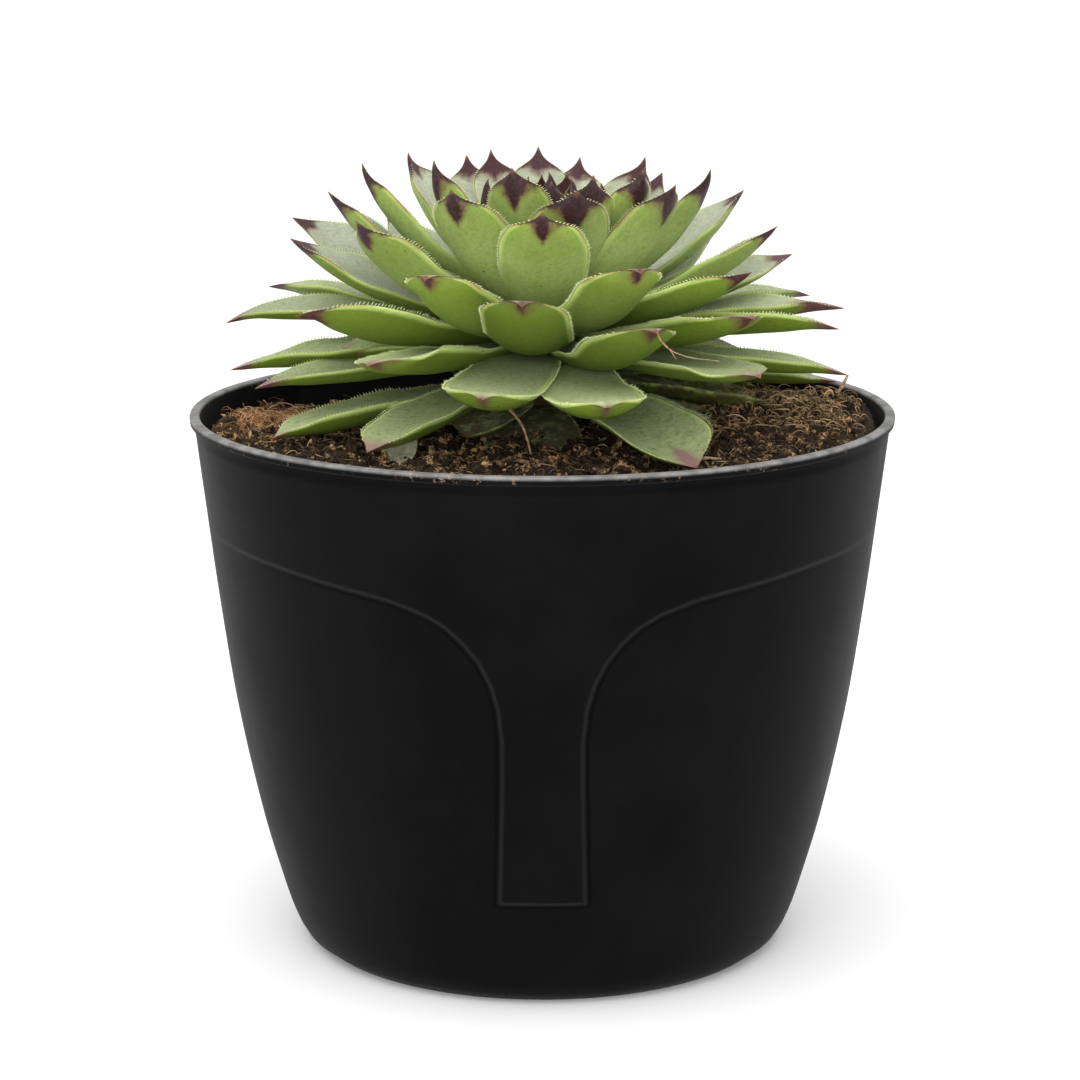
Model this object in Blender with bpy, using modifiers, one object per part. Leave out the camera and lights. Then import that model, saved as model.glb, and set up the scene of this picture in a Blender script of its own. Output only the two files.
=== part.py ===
"""Potted houseleek: a rosette of fleshy leaves on a short stem, in peat, in a round plastic pot.

Blender 4.5, metres, +Z up. The origin is the middle of the pot's base, and the front faces -Y.
"""

import math

import bmesh
import bpy
from mathutils import Vector, noise

MM = 0.001

# Pot, in millimetres: radius and height of its outer side, from under the lip down to the foot.
RIM_HEIGHT = 100.0
POT_SIDE = (
    (64.1, 98.2),
    (62.5, 85.0),
    (60.0, 65.0),
    (57.0, 45.0),
    (52.8, 25.0),
    (49.2, 12.0),
    (47.2, 6.0),
    (45.1, 2.0),
    (42.4, 0.0),
)
LIP_RADIUS = 65.0
LIP_DEPTH = 1.4
LIP_ROUND = 0.4
WALL = 1.9
FLOOR_THICKNESS = 2.5
FOOT_INNER_RADIUS = 36.0
FOOT_DEPTH = 1.0
POT_SEGMENTS = 72

# Raised T on the front and on the back of the pot: a band under the lip and a post below it.
# The outline's points are (distance from the middle, height). The relief dies away towards the sides.
RELIEF = 1.0
RELIEF_OVERLAP = 1.6
RELIEF_LOWEST = 6.0
BAND_TOP = 97.0
BAND_EDGE_OUT = (61.0, 80.3)
BAND_EDGE_IN = (31.0, 77.8)
POST_TOP = (7.0, 55.0)
POST_FOOT = (7.6, 21.0)
FILLET_STEPS = 8

# Peat: it fills the pot to a little under the rim, with a heap at the right.
SOIL_GAP = 0.3
SOIL_TOP = 96.2
SOIL_RINGS = (0.0, 14.0, 22.0, 31.0, 40.0, 49.0, 57.0)
SOIL_BED_RADIUS = 15.0
SOIL_ROUGHNESS = 1.2
SOIL_LUMP = 13.0
SOIL_HEAP = 2.4
SOIL_HEAP_PLACE = (44.0, 8.0)
SOIL_HEAP_RADIUS = 20.0
SOIL_SEGMENTS = 36

# Stem: a short blunt cone on the peat, radius and height. The leaves stand on its side.
CROWN_SIDE = (
    (3.0, 122.5),
    (5.0, 119.5),
    (7.0, 113.5),
    (8.2, 108.0),
    (8.4, 103.0),
    (7.5, 96.6),
)
CROWN_TOP = 123.5
# Height on the stem where a leaf starts, at its share of the way through the list below.
START_HEIGHTS = ((0.0, 102.0), (0.03, 105.0), (0.1, 108.5), (0.2, 112.0), (0.5, 115.5), (1.0, 121.5))
CROWN_SEGMENTS = 24

# Bud: the youngest leaves, still closed round one another on top of the stem.
BUD_SIDE = (
    (0.0, 145.0),
    (1.5, 142.0),
    (4.0, 137.0),
    (5.5, 131.0),
    (5.0, 126.0),
    (3.0, 123.8),
    (0.0, 123.8),
)
BUD_SEGMENTS = 16

# Leaves, from the lowest to the highest. Each row is one leaf's tip: its direction round the pot in
# degrees from the front towards the right, its distance from the axis and its height above the rim,
# and then by how many degrees the leaf curves up between its middle and its tip.
LEAF_TIPS = (
    (-4, 38, 3, 0),
    (30, 54, -2, -6),
    (-57, 57, 0, -4),
    (152, 54, 0, -4),
    (-32, 57, 1, -4),
    (-140, 55, 2, -4),
    (103, 57, 3, -2),
    (178, 56, 4, -2),
    (-60, 58, 7, -2),
    (81, 58, 7, -4),
    (13, 57, 9, -2),
    (-78, 58, 10, -4),
    (-11, 57, 11, -2),
    (140, 57, 11, -2),
    (42, 58, 12, 3),
    (-125, 57, 13, -2),
    (-33, 58, 15, -4),
    (-93, 59, 17, -5),
    (69, 57, 17, 2),
    (94, 56, 18, -3),
    (121, 56, 19, 3),
    (-114, 54, 23, -3),
    (21, 53, 22, 14),
    (47, 54, 21, 3),
    (-54, 53, 23, -4),
    (-152, 50, 24, 10),
    (-5, 51, 27, 16),
    (105, 49, 27, 3),
    (148, 51, 26, 6),
    (49, 48, 30, 7),
    (-26, 49, 32, 13),
    (-88, 46, 32, 12),
    (178, 47, 31, 14),
    (19, 47, 33, 14),
    (-138, 46, 33, 16),
    (-111, 48, 35, 5),
    (81, 43, 35, 14),
    (-51, 41, 38, 18),
    (110, 40, 39, 12),
    (-83, 39, 41, 14),
    (1, 37, 41, 22),
    (171, 33, 43, 19),
    (-153, 34, 43, 20),
    (-30, 33, 44, 18),
    (47, 32, 44, 18),
    (79, 31, 45, 16),
    (10, 31, 44, 20),
    (142, 29, 45, 16),
    (-80, 33, 46, 14),
    (-122, 28, 46, 16),
    (-178, 27, 46, 16),
    (20, 26, 46, 16),
    (-152, 22, 48, 12),
    (51, 25, 47, 9),
    (-11, 23, 47, 16),
    (-62, 22, 47, 14),
)
# Greatest width of a leaf, by its tip's height.
LEAF_WIDTHS = ((-3, 14.0), (10, 16.0), (41, 16.0), (44, 14.0), (47, 11.5))
LEAF_THICKNESS = 3.3
# Clear space between a leaf's foot and the stem's side.
LEAF_GAP = 0.4
# Rise of a leaf's edges over its middle, as a share of its half width.
LEAF_CUPPING = 0.24
# Share of the thickness that lies above the leaf's middle surface; the rest is the keel below.
LEAF_UPPER = 0.2
# How far a midrib keeps its direction at either end, as a share of its length.
LEAF_HANDLE = 0.38
LEAF_SIDES = 8

# Half width and thickness along a leaf, as shares of the greatest, at shares of its length.
WIDTH_ALONG = (
    (0.0, 0.30),
    (0.1, 0.40),
    (0.25, 0.58),
    (0.4, 0.78),
    (0.55, 0.94),
    (0.7, 1.0),
    (0.8, 0.97),
    (0.88, 0.80),
    (0.93, 0.50),
    (0.965, 0.17),
    (1.0, 0.0),
)
THICKNESS_ALONG = (
    (0.0, 0.45),
    (0.3, 0.7),
    (0.6, 1.0),
    (0.8, 0.8),
    (0.93, 0.45),
    (1.0, 0.0),
)


def between(points, x):
    """The value at x on the broken line through the points."""
    for (x0, y0), (x1, y1) in zip(points, points[1:]):
        if x <= x1:
            return y0 + (y1 - y0) * (x - x0) / (x1 - x0)
    return points[-1][1]


def material(name, colour, roughness):
    made = bpy.data.materials.new(name)
    made.use_nodes = True
    shader = made.node_tree.nodes["Principled BSDF"]
    shader.inputs["Base Color"].default_value = (*colour, 1.0)
    shader.inputs["Roughness"].default_value = roughness
    shader.inputs["Metallic"].default_value = 0.0
    return made


def new_object(name, mesh, collection):
    made = bpy.data.objects.new(name, mesh)
    collection.objects.link(made)
    return made


def turned(name, profile, segments, collection):
    """A profile of (radius, height) points in millimetres, turned round the Z axis."""
    mesh = bpy.data.meshes.new(name)
    points = [(radius * MM, 0.0, height * MM) for radius, height in profile]
    closed = profile[0][0] > 0
    edges = [(i, i + 1) for i in range(len(points) - 1)] + ([(len(points) - 1, 0)] if closed else [])
    mesh.from_pydata(points, edges, [])
    made = new_object(name, mesh, collection)
    screw = made.modifiers.new("turn", "SCREW")
    screw.steps = segments
    screw.render_steps = segments
    screw.use_merge_vertices = True
    screw.merge_threshold = 0.00001
    return made


def boolean(target, other, operation):
    cut = target.modifiers.new(operation.lower(), "BOOLEAN")
    cut.object = other
    cut.operation = operation
    cut.solver = "EXACT"


def applied(made):
    """The object with its modifiers worked into its mesh."""
    graph = bpy.context.evaluated_depsgraph_get()
    mesh = bpy.data.meshes.new_from_object(made.evaluated_get(graph))
    made.modifiers.clear()
    made.data = mesh
    return made


def pot_inner_side():
    """Radius and height of the pot's inner side, from the floor's edge up to under the rim."""
    side = [(radius - WALL, height) for radius, height in reversed(POT_SIDE) if height > FLOOR_THICKNESS]
    return [(side[0][0] - WALL, FLOOR_THICKNESS), *side]


def relief_outline(collection):
    """The T as a flat shape facing the front, thick enough to cut the pot from side to side."""
    curve = bpy.data.curves.new("relief_outline", "CURVE")
    curve.dimensions = "2D"
    curve.fill_mode = "BOTH"
    curve.extrude = 2 * LIP_RADIUS * MM
    width = BAND_EDGE_IN[0] - POST_TOP[0]
    height = BAND_EDGE_IN[1] - POST_TOP[1]
    right = [(BAND_EDGE_OUT[0], BAND_TOP), BAND_EDGE_OUT]
    for step in range(FILLET_STEPS + 1):
        angle = math.radians(90 * (1 - step / FILLET_STEPS))
        right.append((BAND_EDGE_IN[0] - width * math.cos(angle), POST_TOP[1] + height * math.sin(angle)))
    right.append(POST_FOOT)
    outline = right + [(-x, z) for x, z in reversed(right)]
    spline = curve.splines.new("POLY")
    spline.points.add(len(outline) - 1)
    for point, (x, z) in zip(spline.points, outline):
        point.co = (x * MM, z * MM, 0.0, 1.0)
    spline.use_cyclic_u = True
    drawn = new_object("relief_outline", curve, collection)
    drawn.rotation_euler.x = math.radians(90)
    bpy.context.view_layer.update()
    graph = bpy.context.evaluated_depsgraph_get()
    mesh = bpy.data.meshes.new_from_object(drawn.evaluated_get(graph))
    mesh.transform(drawn.matrix_world)
    bpy.data.objects.remove(drawn)
    solid = bmesh.new()
    solid.from_mesh(mesh)
    bmesh.ops.remove_doubles(solid, verts=solid.verts, dist=0.00001)
    bmesh.ops.recalc_face_normals(solid, faces=solid.faces)
    solid.to_mesh(mesh)
    solid.free()
    return new_object("relief_cutter", mesh, collection)


def make_pot(parts, cutters):
    inner = pot_inner_side()
    rim_inner = LIP_RADIUS - WALL
    lip = [
        (rim_inner, RIM_HEIGHT - LIP_ROUND),
        (rim_inner + LIP_ROUND, RIM_HEIGHT),
        (LIP_RADIUS - LIP_ROUND, RIM_HEIGHT),
        (LIP_RADIUS, RIM_HEIGHT - LIP_ROUND),
        (LIP_RADIUS, RIM_HEIGHT - LIP_DEPTH),
    ]
    base = [(FOOT_INNER_RADIUS, 0.0), (FOOT_INNER_RADIUS - FOOT_DEPTH, FOOT_DEPTH), (0.0, FOOT_DEPTH)]
    profile = [(0.0, FLOOR_THICKNESS), *inner, *lip, *POT_SIDE, *base]
    pot = turned("pot", profile, POT_SEGMENTS, parts)
    sleeve_side = [point for point in POT_SIDE if point[1] >= RELIEF_LOWEST]
    lining = [(radius - RELIEF_OVERLAP, height) for radius, height in reversed(sleeve_side)]
    sleeve = turned("relief_sleeve", lining + sleeve_side, POT_SEGMENTS, cutters)
    sleeve.scale.y = (LIP_RADIUS + RELIEF) / LIP_RADIUS
    boolean(sleeve, relief_outline(cutters), "INTERSECT")
    boolean(pot, sleeve, "UNION")
    return pot


def soil_height(x, y):
    """Height of the peat's surface in millimetres."""
    from_heap = math.hypot(x - SOIL_HEAP_PLACE[0], y - SOIL_HEAP_PLACE[1]) / SOIL_HEAP_RADIUS
    heap = SOIL_HEAP * math.exp(-(from_heap**2))
    lumps = SOIL_ROUGHNESS * noise.noise(Vector((x, y, 0.0)) / SOIL_LUMP)
    open_ground = min(1.0, max(0.0, math.hypot(x, y) / SOIL_BED_RADIUS - 1.0))
    return SOIL_TOP + (heap + lumps) * open_ground


def make_soil(parts):
    (floor_radius, _), *wall = pot_inner_side()
    bottom = FLOOR_THICKNESS + SOIL_GAP
    edge_radius = between([(height, radius) for radius, height in wall], SOIL_TOP)
    wall = [point for point in wall if point[1] < SOIL_TOP]
    against_pot = [(edge_radius, SOIL_TOP), *reversed(wall), (floor_radius, bottom)]
    side = [(radius - SOIL_GAP, height) for radius, height in against_pot]
    top = [(radius, SOIL_TOP) for radius in SOIL_RINGS]
    soil = applied(turned("soil", [*top, *side, (0.0, bottom)], SOIL_SEGMENTS, parts))
    highest_wall = wall[-1][1]
    for vertex in soil.data.vertices:
        if vertex.co.z > highest_wall * MM:
            vertex.co.z = soil_height(vertex.co.x / MM, vertex.co.y / MM) * MM
    return soil


def make_stem(parts):
    bottom = (0.0, CROWN_SIDE[-1][1])
    return turned("stem", [(0.0, CROWN_TOP), *CROWN_SIDE, bottom], CROWN_SEGMENTS, parts)


def make_bud(parts):
    return turned("bud", BUD_SIDE, BUD_SEGMENTS, parts)


def leaf_midrib(reach, height, turn, share):
    """The four handles of a leaf's midrib, as (distance from the axis, height) points."""
    start_height = between(START_HEIGHTS, share)
    rising = sorted((z, radius) for radius, z in CROWN_SIDE)
    start = Vector((between(rising, start_height) + LEAF_GAP, start_height))
    tip = Vector((reach, RIM_HEIGHT + height))
    chord = tip - start
    slope = math.atan2(chord.y, chord.x)
    leave, arrive = slope - math.radians(turn), slope + math.radians(turn)
    handle = LEAF_HANDLE * chord.length
    return (
        start,
        start + handle * Vector((math.cos(leave), math.sin(leave))),
        tip - handle * Vector((math.cos(arrive), math.sin(arrive))),
        tip,
    )


def on_midrib(handles, u):
    """Point and direction of the midrib at a share u of its length."""
    a, b, c, d = handles
    v = 1 - u
    point = v**3 * a + 3 * v * v * u * b + 3 * v * u * u * c + u**3 * d
    along = 3 * v * v * (b - a) + 6 * v * u * (c - b) + 3 * u * u * (d - c)
    return point, along.normalized()


def make_leaf(name, azimuth, reach, height, turn, share, parts):
    """A sphere drawn out along a midrib, flat above and keeled below."""
    handles = leaf_midrib(reach, height, turn, share)
    outward = Vector((math.sin(math.radians(azimuth)), -math.cos(math.radians(azimuth)), 0.0))
    across = Vector((-outward.y, outward.x, 0.0))
    leaf = bmesh.new()
    rings = len(WIDTH_ALONG) - 1
    bmesh.ops.create_uvsphere(leaf, u_segments=LEAF_SIDES, v_segments=rings, radius=1.0)
    for vertex in leaf.verts:
        u, width = WIDTH_ALONG[round(rings * (1 - math.acos(max(-1.0, min(1.0, vertex.co.z))) / math.pi))]
        round_angle = math.atan2(vertex.co.y, vertex.co.x)
        side, over = math.cos(round_angle), math.sin(round_angle)
        at_pole = math.hypot(vertex.co.x, vertex.co.y) < 0.001
        half_width = 0.0 if at_pole else 0.5 * between(LEAF_WIDTHS, height) * width
        thickness = 0.0 if at_pole else LEAF_THICKNESS * between(THICKNESS_ALONG, u)
        depth = thickness * over * abs(over) ** 0.5 * (LEAF_UPPER if over > 0 else 1 - LEAF_UPPER)
        depth += LEAF_CUPPING * half_width * side * side
        point, along = on_midrib(handles, u)
        upward = outward * -along.y + Vector((0.0, 0.0, along.x))
        centre = outward * point.x + Vector((0.0, 0.0, point.y))
        vertex.co = (centre + across * (side * half_width) + upward * depth) * MM
    mesh = bpy.data.meshes.new(name)
    leaf.to_mesh(mesh)
    leaf.free()
    return new_object(name, mesh, parts)


def make_leaves(parts, finish):
    for index, (azimuth, reach, height, turn) in enumerate(LEAF_TIPS):
        share = index / (len(LEAF_TIPS) - 1)
        leaf = make_leaf(f"leaf_{index + 1:02d}", azimuth, reach, height, turn, share, parts)
        leaf.data.materials.append(finish)


def main():
    for left_over in list(bpy.data.objects):
        bpy.data.objects.remove(left_over)
    parts = bpy.data.collections.new("potted_houseleek")
    cutters = bpy.data.collections.new("cutters")
    for collection in (parts, cutters):
        bpy.context.scene.collection.children.link(collection)
    pot = make_pot(parts, cutters)
    pot.data.materials.append(material("pot", (0.012, 0.012, 0.013), 0.5))
    make_soil(parts).data.materials.append(material("soil", (0.09, 0.05, 0.03), 0.95))
    make_stem(parts).data.materials.append(material("stem", (0.16, 0.22, 0.06), 0.7))
    leaf_finish = material("leaf", (0.16, 0.28, 0.06), 0.45)
    make_bud(parts).data.materials.append(leaf_finish)
    make_leaves(parts, leaf_finish)
    for cutter in cutters.objects:
        cutter.hide_render = True
        cutter.display_type = "WIRE"


main()
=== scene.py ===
"""Potted houseleek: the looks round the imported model, laid out as a Blender add-on and run as a script.

Blender 4.5, metres, +Z up. The origin is the middle of the pot's base, and the front faces -Y.
"""

import cmath
import contextlib
import math
import random

import bmesh
import bpy
import numpy as np
from mathutils import Euler, Matrix, Vector, noise


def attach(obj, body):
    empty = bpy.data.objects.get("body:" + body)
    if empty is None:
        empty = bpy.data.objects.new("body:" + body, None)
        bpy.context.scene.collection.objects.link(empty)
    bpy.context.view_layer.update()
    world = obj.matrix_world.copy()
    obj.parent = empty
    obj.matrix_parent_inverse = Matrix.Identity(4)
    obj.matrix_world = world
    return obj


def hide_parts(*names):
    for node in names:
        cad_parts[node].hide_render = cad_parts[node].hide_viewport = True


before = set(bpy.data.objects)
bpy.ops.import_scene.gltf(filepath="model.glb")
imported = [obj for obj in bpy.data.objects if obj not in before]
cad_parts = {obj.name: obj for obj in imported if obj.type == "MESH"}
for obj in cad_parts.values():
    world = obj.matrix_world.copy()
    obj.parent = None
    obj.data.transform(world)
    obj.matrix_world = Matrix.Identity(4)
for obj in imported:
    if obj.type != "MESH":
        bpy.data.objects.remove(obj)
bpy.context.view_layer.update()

bl_info = {
    "name": "Potted Houseleek",
    "version": (1, 0, 0),
    "blender": (4, 5, 0),
    "location": "View3D > Sidebar > Houseleek",
    "description": "Builds a houseleek in peat in a round plastic pot, with its floor, lights and camera",
    "category": "Add Mesh",
}

MM = 0.001
BODY = "root"
# Seeds of the random draws.
LEAF_SEED, TOOTH_SEED, PEAT_SEED, LITTER_SEED = 11, 3, 5, 4

# Pot, in millimetres: radius and height of the outer side, from the foot up to under the lip.
POT_SIDE = (
    (42.4, 0.0), (45.1, 2.0), (47.2, 6.0), (49.2, 12.0), (52.8, 25.0), (57.0, 45.0), (60.0, 65.0),
    (62.5, 85.0), (64.1, 98.2),
)
RIM_HEIGHT = 100.0
LIP_RADIUS = 65.0
LIP_DEPTH = 1.4
WALL = 1.9
POT_SEGMENTS = 192
POT_RING = 2.0
FOOT_INNER_RADIUS = 36.0
FOOT_DEPTH = 1.0
POT_FLOOR = 2.5
FLOOR_RADIUS = 40.0
# The ring that closes the base and the floor in the middle.
CENTRE_RADIUS = 3.0

# Raised T: half of its outline from the top of the band down to the post's foot, (across, height).
BAND_TOP = 96.9
BAND_EDGE = ((61.0, 80.3), (55.5, 79.9), (47.5, 79.4), (39.0, 78.4), (31.0, 77.4))
BAND_TURN = (
    (27.0, 76.8), (23.5, 75.8), (20.0, 74.6), (16.5, 72.6), (13.5, 69.8), (11.0, 66.6), (9.0, 62.6),
)
POST = ((7.7, 58.0), (7.1, 52.0), (7.1, 44.0), (7.6, 21.0))
RELIEF_EDGE = 1.5
# The pot's faces are cut finer this near to the outline.
RELIEF_NEAR = 3.2
RELIEF_CUTS = 5
LINING_HEIGHTS = (96.0, 88.0, 75.0, 60.0, 45.0, 30.0, 15.0, 6.0)

# Peat, in millimetres.
SOIL_TOP = 96.2
SOIL_RADIUS = 61.2
SOIL_STEP = 0.72
SOIL_DEPTH, SOIL_TAPER = 12.0, 0.97
# Where the peat is heaped and matted with fibres, and where it is reddish.
FIBRE_HEAP = (44.0, 5.0)
HEAP_RISE, HEAP_SPREAD = 3.6, 24.0
RUSTY_PATCH = (-50.0, 2.0)
# Where the point of a leaf rests in the peat.
DENT = (27.0, -47.0)
DENT_DEPTH, DENT_SPREAD = 2.2, 9.0
# How far the peat falls behind the plant, and the directions that it does so, in degrees from the front.
BACK_FALL, BACK_ANGLE, BACK_SPREAD = 4.6, 140.0, 36.0
# Sizes of the swells, clods, lumps and grit.
SWELL_SIZE, CLOD_SIZE, LUMP_SIZE, GRIT_SIZE = 11.0, 4.2, 1.7, 0.7
CRUMB_SIZE, LARGE_CRUMB, LARGEST_CRUMB = 0.38, 0.9, 1.5
FIBRE_LENGTH, FIBRE_RADIUS = (1.2, 3.4), (0.045, 0.12)
FIBRE_TAPER = (0.5, 1.0, 1.1, 1.0, 0.8, 0.3)
# Dry bits: name, thickness, and points along each, all in millimetres.
DRY_BITS = (
    ("pink_twig", 0.6, ((-7.1, -33, 107), (-4.4, -35, 104.6), (-2.9, -37, 102), (-2, -38.5, 98.8))),
    ("short_straw", 0.8, ((-4.6, -41.5, 98.3), (-2.5, -45.0, 98.6), (-0.6, -48.5, 98.5))),
    ("right_straw", 0.8, ((26.0, -43.5, 98.4), (28.4, -42.2, 98.8), (31.0, -41.0, 98.5))),
    ("forked_twig", 1.0, ((54.0, 13.0, 98.0), (55.2, 11.5, 100.2), (56.6, 12.4, 102.2), (57.6, 14.0, 103.8))),
    ("forked_twig_side", 0.8, ((55.3, 11.6, 100.3), (53.6, 12.0, 101.6), (51.6, 12.6, 102.0))),
    (
        "dry_thread", 0.3,
        ((19.4, -49.9, 122.4), (20.3, -49.3, 120.3), (23.6, -47.2, 117.8), (30.3, -44.2, 116.2)),
    ),
    ("dry_thread_side", 0.24, ((20.4, -48.8, 120.2), (21.6, -49.0, 119.0), (22.7, -49.2, 117.4))),
)
SCRAP_PLACE = (-25.0, -37.0, 99.6)
SCRAP_WIDTH, SCRAP_LENGTH, SCRAP_SLOPE = 6.2, 9.5, 0.33

# Leaves, from the lowest to the highest: the direction round the pot in degrees from the front towards
# the right, the tip's distance from the axis and its height above the rim in millimetres, and by how many
# degrees the leaf curves up between its middle and its tip.
LEAF_TIPS = (
    (-4, 38, 3, 0), (30, 54, -2, -6), (-57, 57, 0, -4), (152, 54, 0, -4), (-32, 57, 1, -4),  # 1 to 5
    (-140, 55, 2, -4), (103, 57, 3, -2), (178, 56, 4, -2), (-60, 58, 7, -2), (81, 58, 7, -4),  # 6 to 10
    (9, 57, 9, -2), (-78, 58, 10, -4), (-9, 57, 11, -2), (140, 57, 11, -2), (42, 58, 12, 3),  # 11 to 15
    (-125, 57, 13, -2), (-33, 58, 15, -4), (-93, 59, 17, -5), (69, 57, 17, 2), (94, 56, 18, -3),  # 16 to 20
    (116, 56, 19, 3), (-114, 54, 23, -3), (18, 53, 22, 14), (47, 54, 21, 3), (-54, 53, 23, -4),  # 21 to 25
    (-152, 50, 24, 10), (-5, 51, 27, 16), (105, 49, 27, 3), (148, 51, 26, 6), (49, 48, 30, 7),  # 26 to 30
    (-23, 49, 32, 13), (-88, 46, 32, 12), (178, 47, 31, 14), (19, 47, 33, 14), (-138, 46, 33, 16),  # 31 to 35
    (-111, 48, 35, 5), (81, 43, 35, 14), (-51, 41, 38, 18), (110, 40, 39, 12), (-83, 39, 41, 14),  # 36 to 40
    (1, 37, 41, 22), (171, 33, 43, 19), (-153, 34, 43, 20), (-30, 33, 44, 18), (47, 32, 44, 18),  # 41 to 45
    (79, 31, 45, 16), (10, 31, 44, 20), (142, 29, 45, 16), (-80, 33, 46, 14), (-122, 28, 46, 16),  # 46 to 50
    (-178, 27, 46, 16), (20, 26, 46, 16), (-152, 22, 48, 12), (51, 25, 47, 9), (-11, 23, 47, 16),  # 51 to 55
    (-62, 22, 47, 14),  # 56
)
# Leaves that differ from the usual, by number. All but end may be left out:
#   end     the kind of end (see ENDS)
#   reach, height, turn    in place of the tip's place and the curve above
#   nod     how far the point folds over, in degrees; below 0 it rises
#   lift    how far the end alone curls up before the fold, in degrees
#   roll    how far the blade turns about its midrib towards the front, in degrees
#   sway    how far the tip drifts sideways, in millimetres
#   width, thick, cup      shares of the usual width, thickness and cupping
#   lop     by which share the blade is wider on the left of its tip than on the right
#   patch, vee             lengths of the coloured point and of its V down the keel, in millimetres
#   seed    0 for a dark leaf and 1 for a light one; it also shifts the ripple of the edges
#   dirt    how much of it is smeared with peat and darkened with painted shade, from 0 to 1
SHAPES = {
    1: dict(end="blunt", reach=36, height=-7, width=1.2, cup=0.2, turn=-6, patch=-3, vee=0, dirt=0.9),
    2: dict(end="kite", nod=0, width=1.08, cup=1.5, roll=12, patch=1.8, vee=20.0, dirt=0.3),
    3: dict(end="kite", nod=16, width=0.82, cup=1.0, roll=-5, patch=1.4, height=0.8, thick=1.3),
    4: dict(cup=0.6),
    5: dict(end="kite", nod=14, width=0.84, cup=0.9, roll=-3, patch=3.2, height=1.4, thick=1.3),
    7: dict(cup=0.7, roll=2, width=0.9),
    9: dict(cup=0.8, turn=-3, width=0.88, nod=16, height=9.6, sway=-1.5),
    10: dict(cup=0.8, roll=-4, turn=-3, width=0.88, nod=14, reach=56.5, height=8.8),
    11: dict(
        end="blunt", nod=120, turn=-4, lift=16, cup=0.35, height=11.2, width=1.08, sway=2.4, thick=1.6,
        patch=-0.2, vee=4.2,
    ),
    12: dict(cup=0.8, roll=-3, turn=-5, width=0.9, nod=10),
    13: dict(
        end="blunt", nod=120, turn=-4, lift=16, cup=0.35, height=12.8, width=1.08, sway=-1.6, thick=1.6,
        patch=-0.2, vee=4.2,
    ),
    15: dict(end="blunt", nod=50, turn=4, cup=0.9, sway=-1.5, height=14.2, width=0.92, lop=-0.25),
    17: dict(end="blunt", nod=50, turn=6, cup=1.1, sway=-0.6, roll=-11, reach=54.5, height=16.4, lop=0.22),
    18: dict(cup=0.7, roll=5, turn=-12, width=0.9, nod=22),
    19: dict(cup=1.0, roll=-12, turn=-5, width=0.95, height=19.2, nod=16),
    20: dict(cup=0.8, roll=0, patch=8.0, vee=8.0, turn=-6, width=0.9, nod=12, height=19),
    21: dict(nod=18, turn=-4, reach=57, height=18.6),
    22: dict(cup=0.9, roll=-6, reach=57, height=20.5, turn=-2, nod=16),
    23: dict(
        end="blunt", nod=95, turn=22, cup=0.8, height=23.4, roll=-3, sway=3.4, patch=1.0, width=0.94,
        lop=-0.2,
    ),
    24: dict(end="blunt", nod=60, turn=10, cup=1.1, sway=-1, reach=51.5, height=23.2, roll=-6, lop=-0.22),
    25: dict(cup=1.1, roll=-16, turn=12, nod=34, width=1.16, height=24),
    26: dict(cup=0.7),
    27: dict(end="blunt", nod=120, turn=22, cup=0.7, seed=0.0, height=28.5, width=0.97, patch=1.1),
    28: dict(cup=0.6, roll=10, sway=2),
    30: dict(cup=1.0, roll=-6),
    31: dict(end="blunt", nod=110, turn=18, cup=0.8, roll=-4, sway=-1.2, width=0.92, patch=1.0, lop=0.15),
    32: dict(roll=10),
    34: dict(
        end="blunt", nod=110, turn=18, cup=0.8, roll=-2, sway=1.8, seed=0.9, width=0.9, patch=1.0,
        lop=-0.18,
    ),
    36: dict(reach=50, height=33.5, roll=22, cup=0.6),
    38: dict(end="grown", nod=-12, cup=0.9, width=1.14, roll=-6, patch=3.0, vee=3.4, sway=-1.4),
    41: dict(end="grown", nod=-14, turn=12, patch=2.8, vee=3.6, seed=1.0),
    42: dict(sway=-2.1),
    43: dict(sway=-1.1, height=43.6),
    44: dict(end="grown", nod=-14, turn=11, width=1.04, patch=3.0, vee=4.2, seed=0.5),
    45: dict(end="grown", turn=13, width=1.08, patch=3.6, vee=4.4, seed=0.2),
    47: dict(end="grown", turn=16, width=1.08, patch=4.2, vee=4.4),
    48: dict(sway=-1.9, height=44.2),
    50: dict(sway=2.2),
    51: dict(height=45.6, sway=-0.2),
    52: dict(sway=0.1),
    53: dict(height=45.8, width=0.9),
    54: dict(sway=-2.4, height=46.3),
    55: dict(end="grown", width=1.1, sway=-1.0, patch=3.8, vee=4.0, seed=0.5),
}
# Leaves too small, too hidden or too deep in the heart for a solid of their own, in rows like LEAF_TIPS.
FURTHER_LEAVES = (
    (144, 39, 40.3, 18), (157, 56, 17, 0), (64, 37, -2, -4), (86, 46, 0.5, -3), (-160, 51, -1, -4),  # 1 to 5
    (128, 52, -1, -4), (-97, 50, 9, -3), (-72, 40, 12, -4), (127, 41, 30, 8), (112, 43, 8, -3),  # 6 to 10
    (-140, 48, 9, -3), (165, 49, 9, -3), (-24, 32, 0, -4),  # 11 to 13
)
# Widths by the height of the tip, the stem's radius by height, and the height of a leaf's foot by its age.
LEAF_WIDTHS = ((-3, 14.0), (10, 15.6), (41, 16.0), (44, 14.0), (47, 11.5))
CROWN_SIDE = ((96.6, 7.5), (103.0, 8.4), (108.0, 8.2), (113.5, 7.0), (119.5, 5.0), (122.5, 3.0))
START_HEIGHTS = (
    (0.0, 102.0), (0.03, 105.0), (0.1, 108.5), (0.2, 112.0), (0.5, 115.5), (1.0, 121.5),
)
LEAF_GAP = 0.4
LEAF_HANDLE = 0.38
GOLDEN_ANGLE = 137.5

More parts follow.
